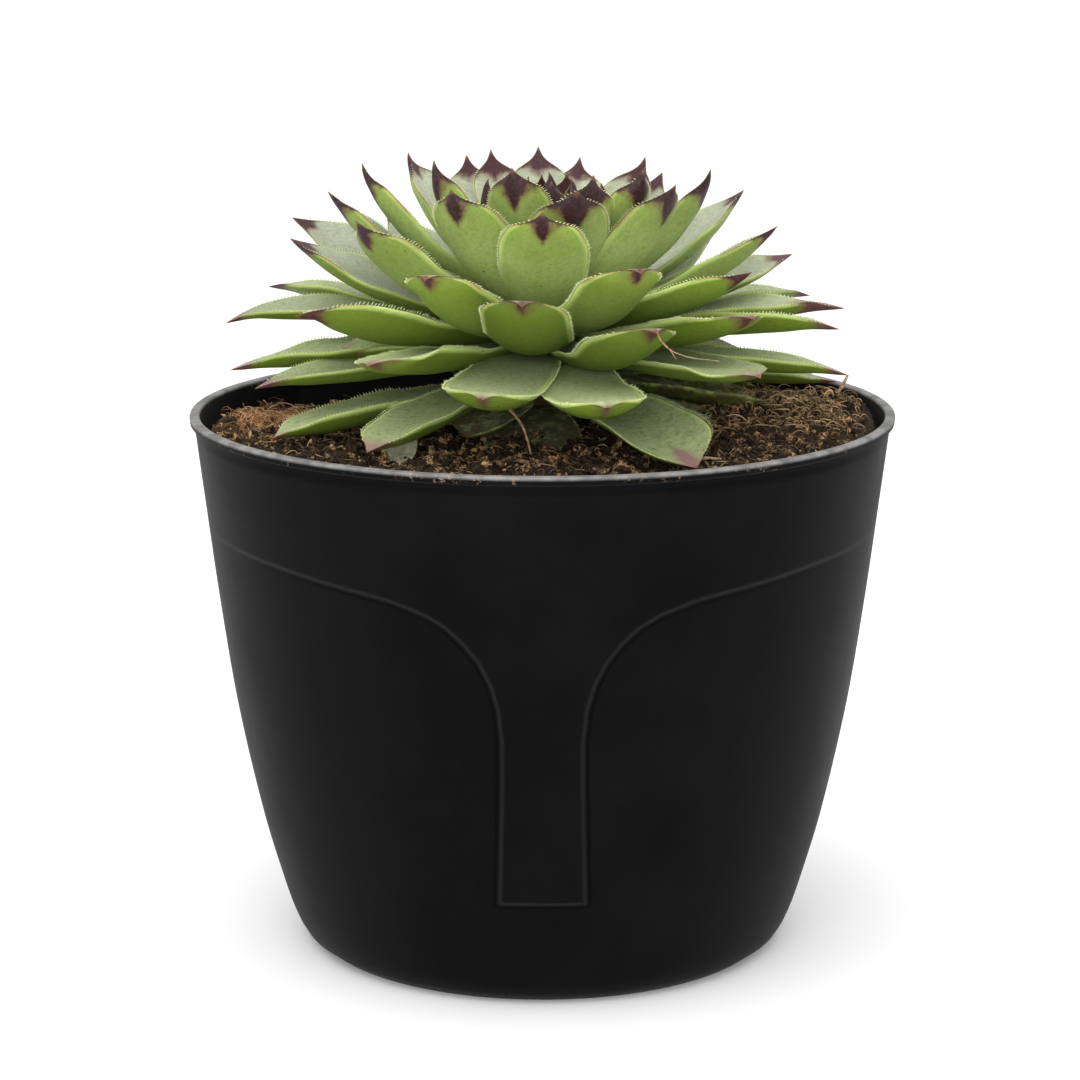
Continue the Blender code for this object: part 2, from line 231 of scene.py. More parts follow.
# The blank that every leaf is cut from. LEAF_UPPER is the share of its thickness above the edges.
BLANK_LENGTH = 50.0
BLANK_WIDTH = 16.0
BLANK_SIDES = 16
LEAF_UPPER = 0.2
FOOT_ALONG = (
    (0.0, 0.44), (0.06, 0.52), (0.13, 0.62), (0.22, 0.74), (0.32, 0.85), (0.42, 0.93), (0.52, 0.98),
)
# The ends of a blade: drawn out to a thorn on young leaves, long and lance-like on side leaves, broad with
# a short thorn on grown ones, three-cornered on low ones, and round with a small flap where the point folds
# over. Each row is (share of the length, of the width).
ENDS = {
    "young": (
        (0.61, 0.98), (0.69, 1.0), (0.76, 0.96), (0.8, 0.89), (0.84, 0.76), (0.868, 0.61), (0.89, 0.46),
        (0.91, 0.33), (0.928, 0.225), (0.945, 0.15), (0.962, 0.095), (0.979, 0.055), (0.992, 0.028),
        (1.0, 0.006),
    ),
    "lance": (
        (0.59, 1.0), (0.66, 0.98), (0.73, 0.89), (0.79, 0.74), (0.84, 0.56), (0.88, 0.4), (0.91, 0.285),
        (0.933, 0.205), (0.952, 0.145), (0.968, 0.095), (0.983, 0.055), (0.993, 0.028), (1.0, 0.006),
    ),
    "grown": (
        (0.6, 1.0), (0.68, 0.985), (0.745, 0.945), (0.795, 0.885), (0.835, 0.805), (0.865, 0.71),
        (0.89, 0.59), (0.91, 0.46), (0.928, 0.33), (0.945, 0.215), (0.962, 0.125), (0.98, 0.06),
        (0.992, 0.028), (1.0, 0.006),
    ),
    "kite": (
        (0.61, 0.99), (0.7, 1.0), (0.8, 0.985), (0.85, 0.92), (0.88, 0.8), (0.905, 0.65), (0.925, 0.51),
        (0.942, 0.38), (0.957, 0.27), (0.972, 0.165), (0.985, 0.085), (0.994, 0.035), (1.0, 0.006),
    ),
    "blunt": (
        (0.61, 0.98), (0.71, 1.0), (0.81, 1.0), (0.87, 0.975), (0.9, 0.93), (0.925, 0.84), (0.942, 0.71),
        (0.954, 0.56), (0.963, 0.42), (0.971, 0.29), (0.98, 0.17), (0.989, 0.085), (0.996, 0.03),
        (1.0, 0.008),
    ),
}
# Where the point folds over, as a share of the length, and how long the coloured point is, by kind of end.
FOLD_AT = {"young": 0.9, "lance": 0.86, "grown": 0.92, "kite": 0.93, "blunt": 0.955}
PATCH_LENGTH = {"young": 4.6, "lance": 4.4, "grown": 3.6, "kite": 2.6, "blunt": 1.8}
THICKNESS_ALONG = (
    (0.0, 0.5), (0.3, 0.75), (0.6, 1.0), (0.8, 0.8), (0.9, 0.5), (0.95, 0.33), (0.975, 0.2), (1.0, 0.03),
)
THICKNESS_BLUNT = (
    (0.0, 0.5), (0.3, 0.75), (0.6, 1.0), (0.8, 0.95), (0.89, 0.85), (0.93, 0.66), (0.955, 0.36),
    (1.0, 0.05),
)
CUP_ALONG = ((0.0, 0.7), (0.4, 0.9), (0.7, 1.0), (0.86, 1.0), (0.94, 0.75), (1.0, 0.5))
CUP_BLUNT = ((0.0, 0.7), (0.4, 0.9), (0.65, 1.0), (0.8, 0.8), (0.9, 0.2), (0.95, 0.0), (1.0, 0.0))
# Teeth on the edges: the first, the last and the step as shares of the length.
TOOTH_FIRST, TOOTH_LAST, TOOTH_STEP = 0.14, 0.935, 0.0125
TOOTH_RADIUS, TOOTH_SUNK = 0.15, 0.12
# The usual kinds of end: young above this height, lance-like on the sides beyond this angle, else grown.
YOUNG_HEIGHT, SIDE_ANGLE = 42, 48
# The bud: values of its outermost leaf, and how much they change up to its innermost one.
BUD_START, BUD_START_CHANGE = complex(4.2, 120.5), complex(-2.8, 1.8)
BUD_REACH, BUD_REACH_CHANGE = 15.5, -13.9
BUD_RISE, BUD_RISE_CHANGE = 42.6, 1.0
BUD_TURN, BUD_TURN_CHANGE = 24, -12
BUD_WIDTH, BUD_WIDTH_CHANGE = 11.5, -5.5
BUD_AZIMUTH, BUD_LEAN = -20, 55

# How far the camera stands beside the middle, in metres.
CAMERA_SIDE = -0.00043


def between(points, x):
    """The value at x on the broken line through the points."""
    for (x0, y0), (x1, y1) in zip(points, points[1:]):
        if x <= x1:
            return y0 + (y1 - y0) * (x - x0) / (x1 - x0)
    return points[-1][1]


def eased(value, low, high):
    """0 below low and 1 above high, with a soft change between them."""
    share = np.clip((value - low) / (high - low), 0.0, 1.0)
    return share * share * (3 - 2 * share)


def only(piece=None):
    """Leaves nothing selected but the piece, which becomes active."""
    bpy.ops.object.select_all(action="DESELECT")
    if piece:
        piece.select_set(True)
        bpy.context.view_layer.objects.active = piece


@contextlib.contextmanager
def editing(piece, selected):
    """Edit mode on one piece, with all of it or none of it selected."""
    only(piece)
    bpy.ops.object.mode_set(mode="EDIT")
    bpy.ops.mesh.select_all(action="SELECT" if selected else "DESELECT")
    yield
    bpy.ops.object.mode_set(mode="OBJECT")


def faced_outwards():
    """In edit mode, points all faces of the piece outwards."""
    bpy.ops.mesh.select_all(action="SELECT")
    bpy.ops.mesh.normals_make_consistent(inside=False)


def added(name):
    """The primitive just added, under its own name."""
    piece = bpy.context.object
    piece.name = piece.data.name = name
    return piece


def settled(piece):
    """The piece with its place worked into its mesh."""
    only(piece)
    bpy.ops.object.transform_apply(location=True, rotation=True, scale=True)
    return piece


def finished(piece, kind, **settings):
    """Adds a modifier and applies it."""
    modifier = piece.modifiers.new(kind.lower(), kind)
    for name, value in settings.items():
        setattr(modifier, name, value)
    only(piece)
    bpy.ops.object.modifier_apply(modifier=modifier.name)
    return piece


def points_of(piece):
    found = np.empty(len(piece.data.vertices) * 3, np.float32)
    piece.data.vertices.foreach_get("co", found)
    return found.reshape(-1, 3).astype(float)


def place_points(piece, points):
    piece.data.vertices.foreach_set("co", np.asarray(points, np.float32).ravel())
    piece.data.update()


def paint(piece, name, values):
    """Keeps three numbers at each point of the mesh, for the material."""
    layer = piece.data.attributes.get(name) or piece.data.attributes.new(name, "FLOAT_VECTOR", "POINT")
    layer.data.foreach_set("vector", np.asarray(values, np.float32).ravel())


def dressed(piece, finish, slot, *nodes):
    """Gives a piece its material, hangs it on the body and hides the plain solids that it stands for."""
    piece.data.materials.clear()
    piece.data.materials.append(finish)
    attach(piece, BODY)
    if nodes:
        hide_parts(*nodes)
    return piece


def select_where(piece, test):
    """In edit mode with nothing selected, selects the faces whose middles, in millimetres, pass the test."""
    shape = bmesh.from_edit_mesh(piece.data)
    middles = np.array([face.calc_center_median() for face in shape.faces]) / MM
    for face, chosen in zip(shape.faces, test(middles)):
        if chosen:
            face.select_set(True)
    bmesh.update_edit_mesh(piece.data)


def turned(name, profile, segments):
    """A ring drawn out along a profile of (radius, height) points in millimetres, and closed at both ends."""
    only()
    radius, height = profile[0]
    bpy.ops.mesh.primitive_circle_add(vertices=segments, radius=radius * MM, location=(0, 0, height * MM))
    piece = settled(added(name))
    with editing(piece, selected=True):
        for next_radius, next_height in profile[1:]:
            rise = (next_height - height) * MM
            bpy.ops.mesh.extrude_region_move(TRANSFORM_OT_translate={"value": (0, 0, rise)})
            widen = next_radius / radius
            bpy.ops.transform.resize(value=(widen, widen, 1), center_override=(0, 0, next_height * MM))
            radius, height = next_radius, next_height
        bpy.ops.mesh.edge_face_add()
        bpy.ops.mesh.select_all(action="DESELECT")
        bpy.ops.mesh.select_non_manifold()
        bpy.ops.mesh.edge_face_add()
        faced_outwards()
    return piece


class Finish:
    """A material and short ways to add nodes to it."""

    def __init__(self, name):
        self.material = bpy.data.materials.new(name)
        self.material.use_nodes = True
        self.tree = self.material.node_tree
        self.shader = self.tree.nodes["Principled BSDF"]

    def node(self, kind, *inputs, **settings):
        made = self.tree.nodes.new(f"ShaderNode{kind}")
        for name, value in settings.items():
            setattr(made, name, value)
        for socket, value in zip(made.inputs, inputs):
            self.put(socket, value)
        return made

    def put(self, socket, value):
        if isinstance(value, bpy.types.NodeSocket):
            self.tree.links.new(value, socket)
        elif value is not None:
            socket.default_value = (*value, 1.0) if socket.type == "RGBA" and len(value) == 3 else value

    def math(self, operation, *inputs, clamp=False):
        return self.node("Math", *inputs, operation=operation, use_clamp=clamp).outputs[0]

    def times(self, first, second):
        return self.math("MULTIPLY", first, second)

    def plus(self, first, second):
        return self.math("ADD", first, second)

    def minus(self, first, second, clamp=False):
        return self.math("SUBTRACT", first, second, clamp=clamp)

    def soft(self, value, low, high, to_low=0.0, to_high=1.0):
        """A soft change from to_low to to_high as the value goes from low to high."""
        inputs = (value, low, high, to_low, to_high)
        return self.node("MapRange", *inputs, interpolation_type="SMOOTHSTEP").outputs[0]

    def blend(self, share, first, second, how="MIX"):
        made = self.node("Mix", data_type="RGBA", blend_type=how)
        for name, value in (("Factor_Float", share), ("A_Color", first), ("B_Color", second)):
            socket = next(s for s in made.inputs if s.identifier == name)
            self.put(socket, value)
        return next(s for s in made.outputs if s.identifier == "Result_Color")

    def place(self):
        return self.node("TexCoord").outputs["Object"]

    def noise(self, size, detail=2.0, roughness=0.5, where=None):
        """Noise with features of about that many millimetres."""
        made = self.node("TexNoise")
        self.put(made.inputs["Vector"], where or self.place())
        for name, value in (("Scale", 1 / (size * MM)), ("Detail", detail), ("Roughness", roughness)):
            made.inputs[name].default_value = value
        return made.outputs["Fac"]

    def cells(self, size):
        """Cells of about that many millimetres: the distance from each one's middle, and its own number."""
        made = self.node("TexVoronoi")
        self.put(made.inputs["Vector"], self.place())
        made.inputs["Scale"].default_value = 1 / (size * MM)
        return made.outputs["Distance"], self.node("SeparateXYZ", made.outputs["Color"]).outputs[0]

    def vector(self, name):
        """The three numbers kept in an attribute of the piece."""
        return self.node("SeparateXYZ", self.node("Attribute", attribute_name=name).outputs["Vector"]).outputs

    def bump(self, height, depth, strength=1.0):
        """Bumps of that depth in millimetres."""
        made = self.node("Bump")
        made.inputs["Strength"].default_value = strength
        made.inputs["Distance"].default_value = depth * MM
        self.put(made.inputs["Height"], height)
        self.put(self.shader.inputs["Normal"], made.outputs[0])

    def set(self, **values):
        for name, value in values.items():
            self.put(self.shader.inputs[name.replace("_", " ")], value)
        return self.material


def size_setting(name, description, default, **limits):
    return bpy.props.FloatProperty(name=name, description=description, default=default, **limits)


def count_setting(name, description, default, low, high=20000):
    return bpy.props.IntProperty(name=name, description=description, default=default, min=low, max=high)


def colour_setting(name, description, default):
    return bpy.props.FloatVectorProperty(name=name, description=description, default=default, subtype="COLOR")


def tinted(colour, *by):
    """A colour made lighter or darker, by one share or by one each for its red, green and blue."""
    return tuple(part * share for part, share in zip(colour, by if len(by) > 1 else by * 3))


# Leaves


def end_widths(end):
    return (*FOOT_ALONG, *ENDS[end])


def leaf_blank(end, thickness, tooth):
    """A straight flat leaf along +X, drawn out ring by ring from a circle at its foot, with toothed edges."""
    widths = end_widths(end)
    only()
    upright = (0.0, math.radians(90), 0.0)
    bpy.ops.mesh.primitive_circle_add(vertices=BLANK_SIDES, radius=1.0, fill_type="NGON", rotation=upright)
    blank = settled(added(f"blank_{end}"))
    with editing(blank, selected=True):
        for (before, _), (along, _) in zip(widths, widths[1:]):
            bpy.ops.mesh.extrude_region_move(TRANSFORM_OT_translate={"value": (along - before, 0, 0)})
        faced_outwards()
    along, side, over = points_of(blank).T
    half = 0.5 * BLANK_WIDTH * np.interp(along, *zip(*widths))
    thick_along = THICKNESS_BLUNT if end == "blunt" else THICKNESS_ALONG
    depth = thickness * np.interp(along, *zip(*thick_along)) * over * np.abs(over) ** 0.5
    depth *= np.where(over > 0, LEAF_UPPER, 1 - LEAF_UPPER)
    place_points(blank, np.c_[along * BLANK_LENGTH, side * half, depth] * MM)
    finished(blank, "SUBSURF", levels=1, render_levels=1)
    blade = len(blank.data.vertices)
    draw = random.Random(TOOTH_SEED)
    with editing(blank, selected=False):
        for sign in (-1, 1):
            along = TOOTH_FIRST
            while along < TOOTH_LAST:
                edge = 0.5 * BLANK_WIDTH * between(widths, along) - TOOTH_SUNK
                length = tooth * draw.uniform(0.7, 1.2) * MM
                lean = Euler((math.radians(-sign * (90 - draw.uniform(-10, 30))), math.radians(20), 0.0))
                middle = lean.to_matrix() @ Vector((0, 0, 0.42 * length))
                bpy.ops.mesh.primitive_cone_add(
                    vertices=3,
                    radius1=TOOTH_RADIUS * MM,
                    radius2=0.0,
                    depth=length,
                    location=Vector((along * BLANK_LENGTH, sign * edge, 0)) * MM + middle,
                    rotation=lean,
                )
                along += TOOTH_STEP * draw.uniform(0.8, 1.2)
    bpy.ops.object.shade_smooth()
    share, side, _ = blade_place(blank, widths)
    upper = np.array([vertex.normal.z for vertex in blank.data.vertices])
    upper[blade:], side[blade:] = 0.5, 1.5
    paint(blank, "place", np.c_[share, np.clip(side, -1.5, 1.5), upper])
    return blank


def blade_place(blade, widths):
    """For each point of a straight blade: the share along it, the share across it, and its half width."""
    points = points_of(blade) / MM
    share = np.clip(points[:, 0] / BLANK_LENGTH, 0, 1)
    half = 0.5 * BLANK_WIDTH * np.interp(share, *zip(*widths))
    return share, np.clip(points[:, 1] / half, -1.3, 1.3), half


def midrib(start, tip, turn, lift, nod, fold_at):
    """The Bezier points of a midrib, complex numbers of (distance from the axis, height) in millimetres.

    Three rows for the foot, the start of the fold and the tip, each with its handles. lift curls the end
    alone upwards, and a nod below 0 raises the point, which keeps its place.
    """
    chord = tip - start
    slope, handle = cmath.phase(chord), LEAF_HANDLE * abs(chord)
    leave, arrive = slope - math.radians(turn), slope + math.radians(turn + lift)
    line = [start, start + cmath.rect(handle, leave), tip - cmath.rect(handle, arrive), tip]
    first, last = [], []
    while line:
        first.append(line[0])
        last.insert(0, line[-1])
        line = [p + (q - p) * fold_at for p, q in zip(line, line[1:])]
    near_tip = last[1] + (last[2] - last[1]) * cmath.rect(1, -math.radians(nod / 2))
    end = near_tip + (last[3] - last[2]) * cmath.rect(1, -math.radians(nod))
    rows = [(start, start, first[1]), (first[2], first[3], last[1]), (near_tip, end, 2 * end - near_tip)]
    fit = (tip - start) / (end - start) if nod < 0 else 1
    return [[start + (p - start) * fit for p in row] for row in rows]


def grown(name, blanks, azimuth, start, tip, turn, width, shape, lean=0.0):
    """A leaf cut from its blank, hollowed and bent along its midrib.

    lean turns steep leaves down by that many degrees while they bend.
    """
    end = shape["end"]
    nod = shape.get("nod", {"young": -14, "lance": 4}.get(end, 2))
    rows = midrib(start, tip, turn, shape.get("lift", 0), nod, FOLD_AT[end])
    only(blanks[end])
    bpy.ops.object.duplicate()
    leaf = added(name)
    share, side, half = blade_place(leaf, end_widths(end))
    points = points_of(leaf) / MM
    widen = width / BLANK_WIDTH
    # A lop-sided blade is wider to the left of its tip, looking along it.
    points[:, 1] *= widen * (1 + shape.get("lop", 0.0) * np.sign(points[:, 1]) * eased(share, 0.4, 0.85))
    points[:, 2] *= shape.get("thick", 1.0)
    rise = shape["cupping"] * np.interp(share, *zip(*(CUP_BLUNT if end == "blunt" else CUP_ALONG)))
    points[:, 2] += rise * half * widen * side**2
    seed = shape["seed"]
    ripple = np.sin(6.3 * (2.1 * share + seed)) + 0.6 * np.sin(6.3 * (3.7 * share + 3 * seed))
    ripple *= eased(share, 0.2, 0.5) * (1 - eased(share, 0.85, 0.95))
    points[:, 2] += shape["ripple"] * ripple * side**3
    place_points(leaf, points * MM)
    outward = Vector((math.sin(math.radians(azimuth)), -math.cos(math.radians(azimuth)), 0.0))
    across = Vector((-outward.y, outward.x, 0.0))
    tilt = cmath.rect(1, -math.radians(lean))
    sway = shape.get("sway", 0.0)

    def placed(point):
        point = start + (point - start) * tilt
        drift = sway * (abs(point - start) / abs(tip - start)) ** 2
        return (outward * point.real + across * drift + Vector((0, 0, point.imag))) * MM

    only()
    bpy.ops.curve.primitive_bezier_curve_add(location=(0, 0, 0))
    line = bpy.context.object
    line.data.use_stretch = line.data.use_deform_bounds = True
    line.data.twist_mode = "Z_UP"
    line.data.resolution_u = 24
    spline = line.data.splines[0]
    spline.bezier_points.add(1)
    roll = math.radians(shape.get("roll", 0.0) * (1 if azimuth > 0 else -1))
    for point, row, share_rolled in zip(spline.bezier_points, rows, (0.3, 0.9, 1.0)):
        point.handle_left_type = point.handle_right_type = "FREE"
        point.handle_left, point.co, point.handle_right = (placed(p) for p in row)
        point.tilt = roll * share_rolled
    length = spline.calc_length() / MM
    finished(leaf, "CURVE", object=line, deform_axis="POS_X")
    bpy.data.objects.remove(line)
    if lean:
        foot = (outward * start.real + Vector((0, 0, start.imag))) * MM
        turn_back = Matrix.Rotation(-math.radians(lean), 4, across)
        leaf.data.transform(Matrix.Translation(foot) @ turn_back @ Matrix.Translation(-foot))
    count = len(leaf.data.vertices)
    paint(leaf, "habit", np.tile((shape["age"], seed, shape.get("dirt", 0.0)), (count, 1)))
    paint(leaf, "end", np.tile((length, shape["patch"], shape["vee"]), (count, 1)))
    return leaf


class HouseleekLeaves(bpy.types.PropertyGroup):
    thickness: size_setting("Thickness", "Thickness of a leaf in millimetres", 2.9, min=1.0, max=6.0)
    cupping: size_setting("Cupping", "Rise of the edges as a share of the half width", 0.26, min=0.0, max=1.0)
    ripple: size_setting("Ripple", "Waviness of the edges in millimetres", 0.22, min=0.0, max=2.0)
    tooth: size_setting("Tooth length", "Length of the hairs on the edges in millimetres", 0.58, min=0.0)
    bud_leaves: count_setting("Bud leaves", "Young leaves closed round the heart", 11, 3, 30)
    under: colour_setting("Under side", "Colour of a leaf's under side", (0.20, 0.265, 0.05))
    upper: colour_setting("Upper side", "Colour of a leaf's upper side", (0.48, 0.51, 0.37))
    edge: colour_setting("Edge", "Colour along a leaf's edges", (0.50, 0.60, 0.20))
    tip: colour_setting("Tip", "Colour of a young leaf's point", (0.018, 0.006, 0.008))


def leaf_finish(colours):
    finish = Finish("leaf_flesh")
    along, side, upper = finish.vector("place")
    age, seed, dirt = finish.vector("habit")
    length, patch, vee = finish.vector("end")
    from_middle = finish.math("ABSOLUTE", side)
    on_top = finish.soft(upper, -0.1, 0.2)
    patches = finish.noise(7.0, 3.0)
    fine = finish.noise(0.8, 3.0, 0.6)
    grain = finish.noise(0.32, 3.0, 0.7)
    # The under side: fresher near the edges, streaked lengthwise, paler at the foot, deeper when old.
    under = finish.blend(
        finish.soft(patches, 0.3, 0.75), colours.under, tuple(1.2 * part + 0.03 for part in colours.under)
    )
    fresh = tinted(colours.under, 1.02, 1.2, 0.6)
    under = finish.blend(finish.soft(from_middle, 0.55, 0.95, 0.0, 0.75), under, fresh)
    under = finish.blend(finish.soft(grain, 0.5, 0.72, 0.0, 0.4), under, (0.34, 0.40, 0.20))
    under = finish.blend(finish.soft(grain, 0.28, 0.48, 0.35, 0.0), under, tinted(colours.under, 0.55))
    flat = finish.node("CombineXYZ", along, side).outputs[0]
    lengthwise = finish.node("Mapping", flat, None, None, (2.0, 9.0, 1.0)).outputs[0]
    streaked = finish.noise(1000.0, 3.0, 0.6, where=lengthwise)
    under = finish.blend(finish.soft(streaked, 0.4, 0.75, 0.0, 0.3), under, tinted(colours.under, 0.72))
    under = finish.blend(finish.soft(along, 0.5, 0.9, 0.95, 0.0), under, (0.42, 0.53, 0.18))
    deep = tinted(colours.under, 0.60, 0.68, 0.34)
    under = finish.blend(finish.soft(age, 0.48, 0.8, 0.95, 0.0), under, deep)
    # The upper side: a pale bloom, which turns dull and blotched on old leaves.
    bloom = finish.blend(finish.soft(patches, 0.25, 0.7), colours.upper, tinted(colours.upper, 0.78))
    bloom = finish.blend(finish.soft(grain, 0.3, 0.5, 0.4, 0.0), bloom, tinted(colours.upper, 0.66))
    blotch = finish.soft(finish.noise(2.6, 4.0, 0.65), 0.42, 0.66, 0.0, 0.55)
    dull = finish.blend(blotch, tinted(colours.upper, 0.66, 0.75, 0.45), (0.42, 0.45, 0.24))
    mottled = finish.soft(finish.noise(1.1, 4.0, 0.7), 0.36, 0.5, 0.5, 0.0)
    dull = finish.blend(mottled, dull, tinted(colours.upper, 0.3, 0.38, 0.16))
    bloom = finish.blend(finish.soft(age, 0.15, 0.65, 0.85, 0.0), bloom, dull)
    green = finish.blend(on_top, under, bloom)
    green = finish.blend(finish.soft(fine, 0.4, 0.75, 0.0, 0.3), green, tinted(colours.under, 0.4))
    edge = finish.soft(finish.plus(from_middle, finish.times(fine, 0.05)), 0.88, 0.99)
    green = finish.blend(finish.times(edge, 0.9), green, colours.edge)
    # The coloured point: it covers the end, runs down the keel in a V and along the edges in a thin line.
    from_tip = finish.times(finish.minus(1.0, along), length)
    wander = finish.times(finish.minus(finish.noise(1.6, 4.0, 0.65), 0.5), 3.4)
    keel = finish.math("POWER", finish.minus(1.0, from_middle, clamp=True), 2.6)
    keel = finish.times(keel, finish.soft(on_top, 0.0, 1.0, 1.0, 0.35))
    wings = finish.times(finish.math("POWER", from_middle, 9.0), 2.2)
    reach = finish.plus(finish.plus(patch, finish.times(keel, vee)), wings)
    beyond = finish.minus(finish.plus(from_tip, wander), reach)
    blur = finish.soft(age, 0.15, 0.6, 2.2, 1.1)
    point = finish.soft(beyond, finish.times(blur, -1.0), blur, 1.0, 0.0)
    near_point = finish.soft(finish.minus(beyond, vee), 0.0, 4.0, 1.0, 0.0)
    rim = finish.times(finish.soft(from_middle, 0.9, 0.98), near_point)
    rim = finish.times(rim, finish.soft(age, 0.25, 0.55, 0.1, 1.0))
    faded = finish.blend(on_top, (0.11, 0.045, 0.042), (0.26, 0.155, 0.14))
    mix_share = finish.soft(finish.noise(0.7, 4.0, 0.7), 0.4, 0.68)
    dark = finish.blend(mix_share, colours.tip, (0.062, 0.019, 0.022))
    dark = finish.blend(finish.times(on_top, 0.6), dark, (0.068, 0.020, 0.024))
    # Towards the green the point turns redder.
    dark = finish.blend(finish.soft(beyond, -1.6, 0.4, 0.0, 0.75), dark, (0.13, 0.034, 0.026))
    point_colour = finish.blend(finish.soft(age, 0.2, 0.62), faded, dark)
    colour = finish.blend(finish.times(rim, 0.8), green, (0.22, 0.06, 0.04))
    colour = finish.blend(point, colour, point_colour)
    colour = finish.blend(finish.soft(from_tip, 0.3, 1.3, 0.8, 0.0), colour, (0.16, 0.06, 0.035))
    # Specks and the pale hairs.
    from_speck, number = finish.cells(3.4)
    spotted = finish.times(finish.soft(from_speck, 0.06, 0.1, 1.0, 0.0), finish.soft(number, 0.7, 0.72))
    colour = finish.blend(finish.times(spotted, 0.65), colour, (0.06, 0.035, 0.02))
    colour = finish.blend(finish.soft(side, 1.35, 1.45), colour, (0.64, 0.74, 0.34))
    # The lowest leaves are smeared with peat, and painted darker as shade.
    smear = finish.plus(finish.noise(2.4, 5.0, 0.7), finish.times(dirt, 0.16))
    smear = finish.soft(smear, 0.56, 0.66)
    smear = finish.times(smear, finish.soft(dirt, 0.0, 0.8, 0.0, 0.75))
    # Painted shade: the lowest leaves, which lie under the rosette, are darkened.
    colour = finish.blend(finish.soft(dirt, 0.3, 1.0, 0.0, 0.3), colour, (0.03, 0.035, 0.012))
    colour = finish.blend(smear, colour, (0.07, 0.048, 0.026))
    lift = finish.soft(seed, 0.0, 1.0, 0.84, 1.16)
    colour = finish.blend(1.0, colour, finish.node("CombineXYZ", lift, lift, lift).outputs[0], "MULTIPLY")
    finish.bump(finish.plus(finish.noise(0.5, 3.0, 0.6), finish.times(patches, 1.5)), 0.12, 0.5)
    # The plain number stands where a program can't read the one by age.
    finish.set(Specular_IOR_Level=0.22)
    return finish.set(
        Base_Color=colour,
        Roughness=finish.soft(fine, 0.2, 0.8, 0.42, 0.58),
        Subsurface_Weight=0.2,
        Subsurface_Radius=(0.6, 1.0, 0.25),
        Subsurface_Scale=0.002,
        Specular_IOR_Level=finish.soft(age, 0.4, 0.75, 0.16, 0.28),
    )


class HOUSELEEK_OT_leaves(bpy.types.Operator):
    """Grow the leaves of the rosette, each in place of its plain solid, and the young ones of the bud"""

    bl_idname = "houseleek.leaves"
    bl_label = "Leaves"

    def execute(self, context):
        sizes = context.scene.houseleek_leaves
        flesh = leaf_finish(sizes)
        blanks = {end: leaf_blank(end, sizes.thickness, sizes.tooth) for end in ENDS}
        draw = random.Random(LEAF_SEED)

        def habits(age, end, shape):
            """A leaf's shape with all that isn't given filled in by its age."""
            full = {
                "end": end,
                "age": age,
                "seed": draw.random(),
                "patch": (PATCH_LENGTH[end] + 0.6 * age - 0.7) * draw.uniform(0.85, 1.15),
                "vee": (1.8 + 2.6 * age) * draw.uniform(0.8, 1.2),
                "ripple": sizes.ripple * draw.uniform(0.5, 1.5),
                "sway": draw.uniform(-1, 1),
                "roll": draw.uniform(-4, 4),
                **shape,
            }
            full["cupping"] = sizes.cupping * full.get("cup", 1.0)
            return full

        def on_stem(share):
            height = between(START_HEIGHTS, share)
            return complex(between(CROWN_SIDE, height) + LEAF_GAP, height)

        # Each leaf's row, its age from 0 for the oldest to 1, and the solid that it stands for.
        rows = [(row, i / (len(LEAF_TIPS) - 1), f"leaf_{i + 1:02d}") for i, row in enumerate(LEAF_TIPS)]
        rows += [(row, max(0.0, (row[2] + 2) / 56), None) for row in FURTHER_LEAVES]
        for number, ((azimuth, reach, height, turn), share, node) in enumerate(rows, 1):
            given = SHAPES.get(number, {}) if node else {}
            if height < 1 and not node:
                given = dict(patch=-3.0, vee=0.0, dirt=0.9)
            usual = "young" if height >= YOUNG_HEIGHT else "lance" if abs(azimuth) > SIDE_ANGLE else "grown"
            shape = habits(share, given.get("end", usual), given)
            width = between(LEAF_WIDTHS, height) * draw.uniform(0.98, 1.04) * shape.get("width", 1.0)
            tip = complex(shape.get("reach", reach), RIM_HEIGHT + shape.get("height", height))
            name = f"{node}_blade" if node else f"further_leaf_{number - len(LEAF_TIPS)}"
            leaf = grown(name, blanks, azimuth, on_stem(share), tip, shape.get("turn", turn), width, shape)
            dressed(leaf, flesh, "leaf", *([node] if node else []))

        # The bud: ever smaller leaves on the same spiral, ever steeper and closer to the axis.
        for i in range(sizes.bud_leaves):
            closed = i / (sizes.bud_leaves - 1)
            shape = habits(1.0, "young", dict(cup=1.5, ripple=0.0, vee=4.5, sway=0.0, thick=0.7, patch=3.8))
            start = BUD_START + BUD_START_CHANGE * closed
            rise = BUD_RISE + BUD_RISE_CHANGE * closed + draw.uniform(-0.9, 0.5)
            tip = complex(BUD_REACH + BUD_REACH_CHANGE * closed**0.8, RIM_HEIGHT + rise)
            turn, width = BUD_TURN + BUD_TURN_CHANGE * closed, BUD_WIDTH + BUD_WIDTH_CHANGE * closed
            name, azimuth = f"bud_leaf_{i + 1:02d}", BUD_AZIMUTH - GOLDEN_ANGLE * i
            leaf = grown(name, blanks, azimuth, start, tip, turn, width, shape, lean=BUD_LEAN)
            dressed(leaf, flesh, "leaf", "bud")
        for blank in blanks.values():
            bpy.data.objects.remove(blank)
        return {"FINISHED"}


# Pot


def pot_radius(height):
    """The outer side's radius, on a smooth line through the points of POT_SIDE."""
    last = len(POT_SIDE) - 1
    i = next((i for i in range(last) if height <= POT_SIDE[i + 1][1]), last - 1)
    (r0, z0), (r1, z1) = POT_SIDE[i : i + 2]
    before, after = POT_SIDE[max(0, i - 1)], POT_SIDE[min(last, i + 2)]
    slope_in = (r1 - before[0]) / (z1 - before[1])
    slope_out = (after[0] - r0) / (after[1] - z0)
    span, t = z1 - z0, (height - z0) / (z1 - z0)
    return (
        (2 * t**3 - 3 * t**2 + 1) * r0
        + (t**3 - 2 * t**2 + t) * span * slope_in
        + (-2 * t**3 + 3 * t**2) * r1
        + (t**3 - t**2) * span * slope_out
    )


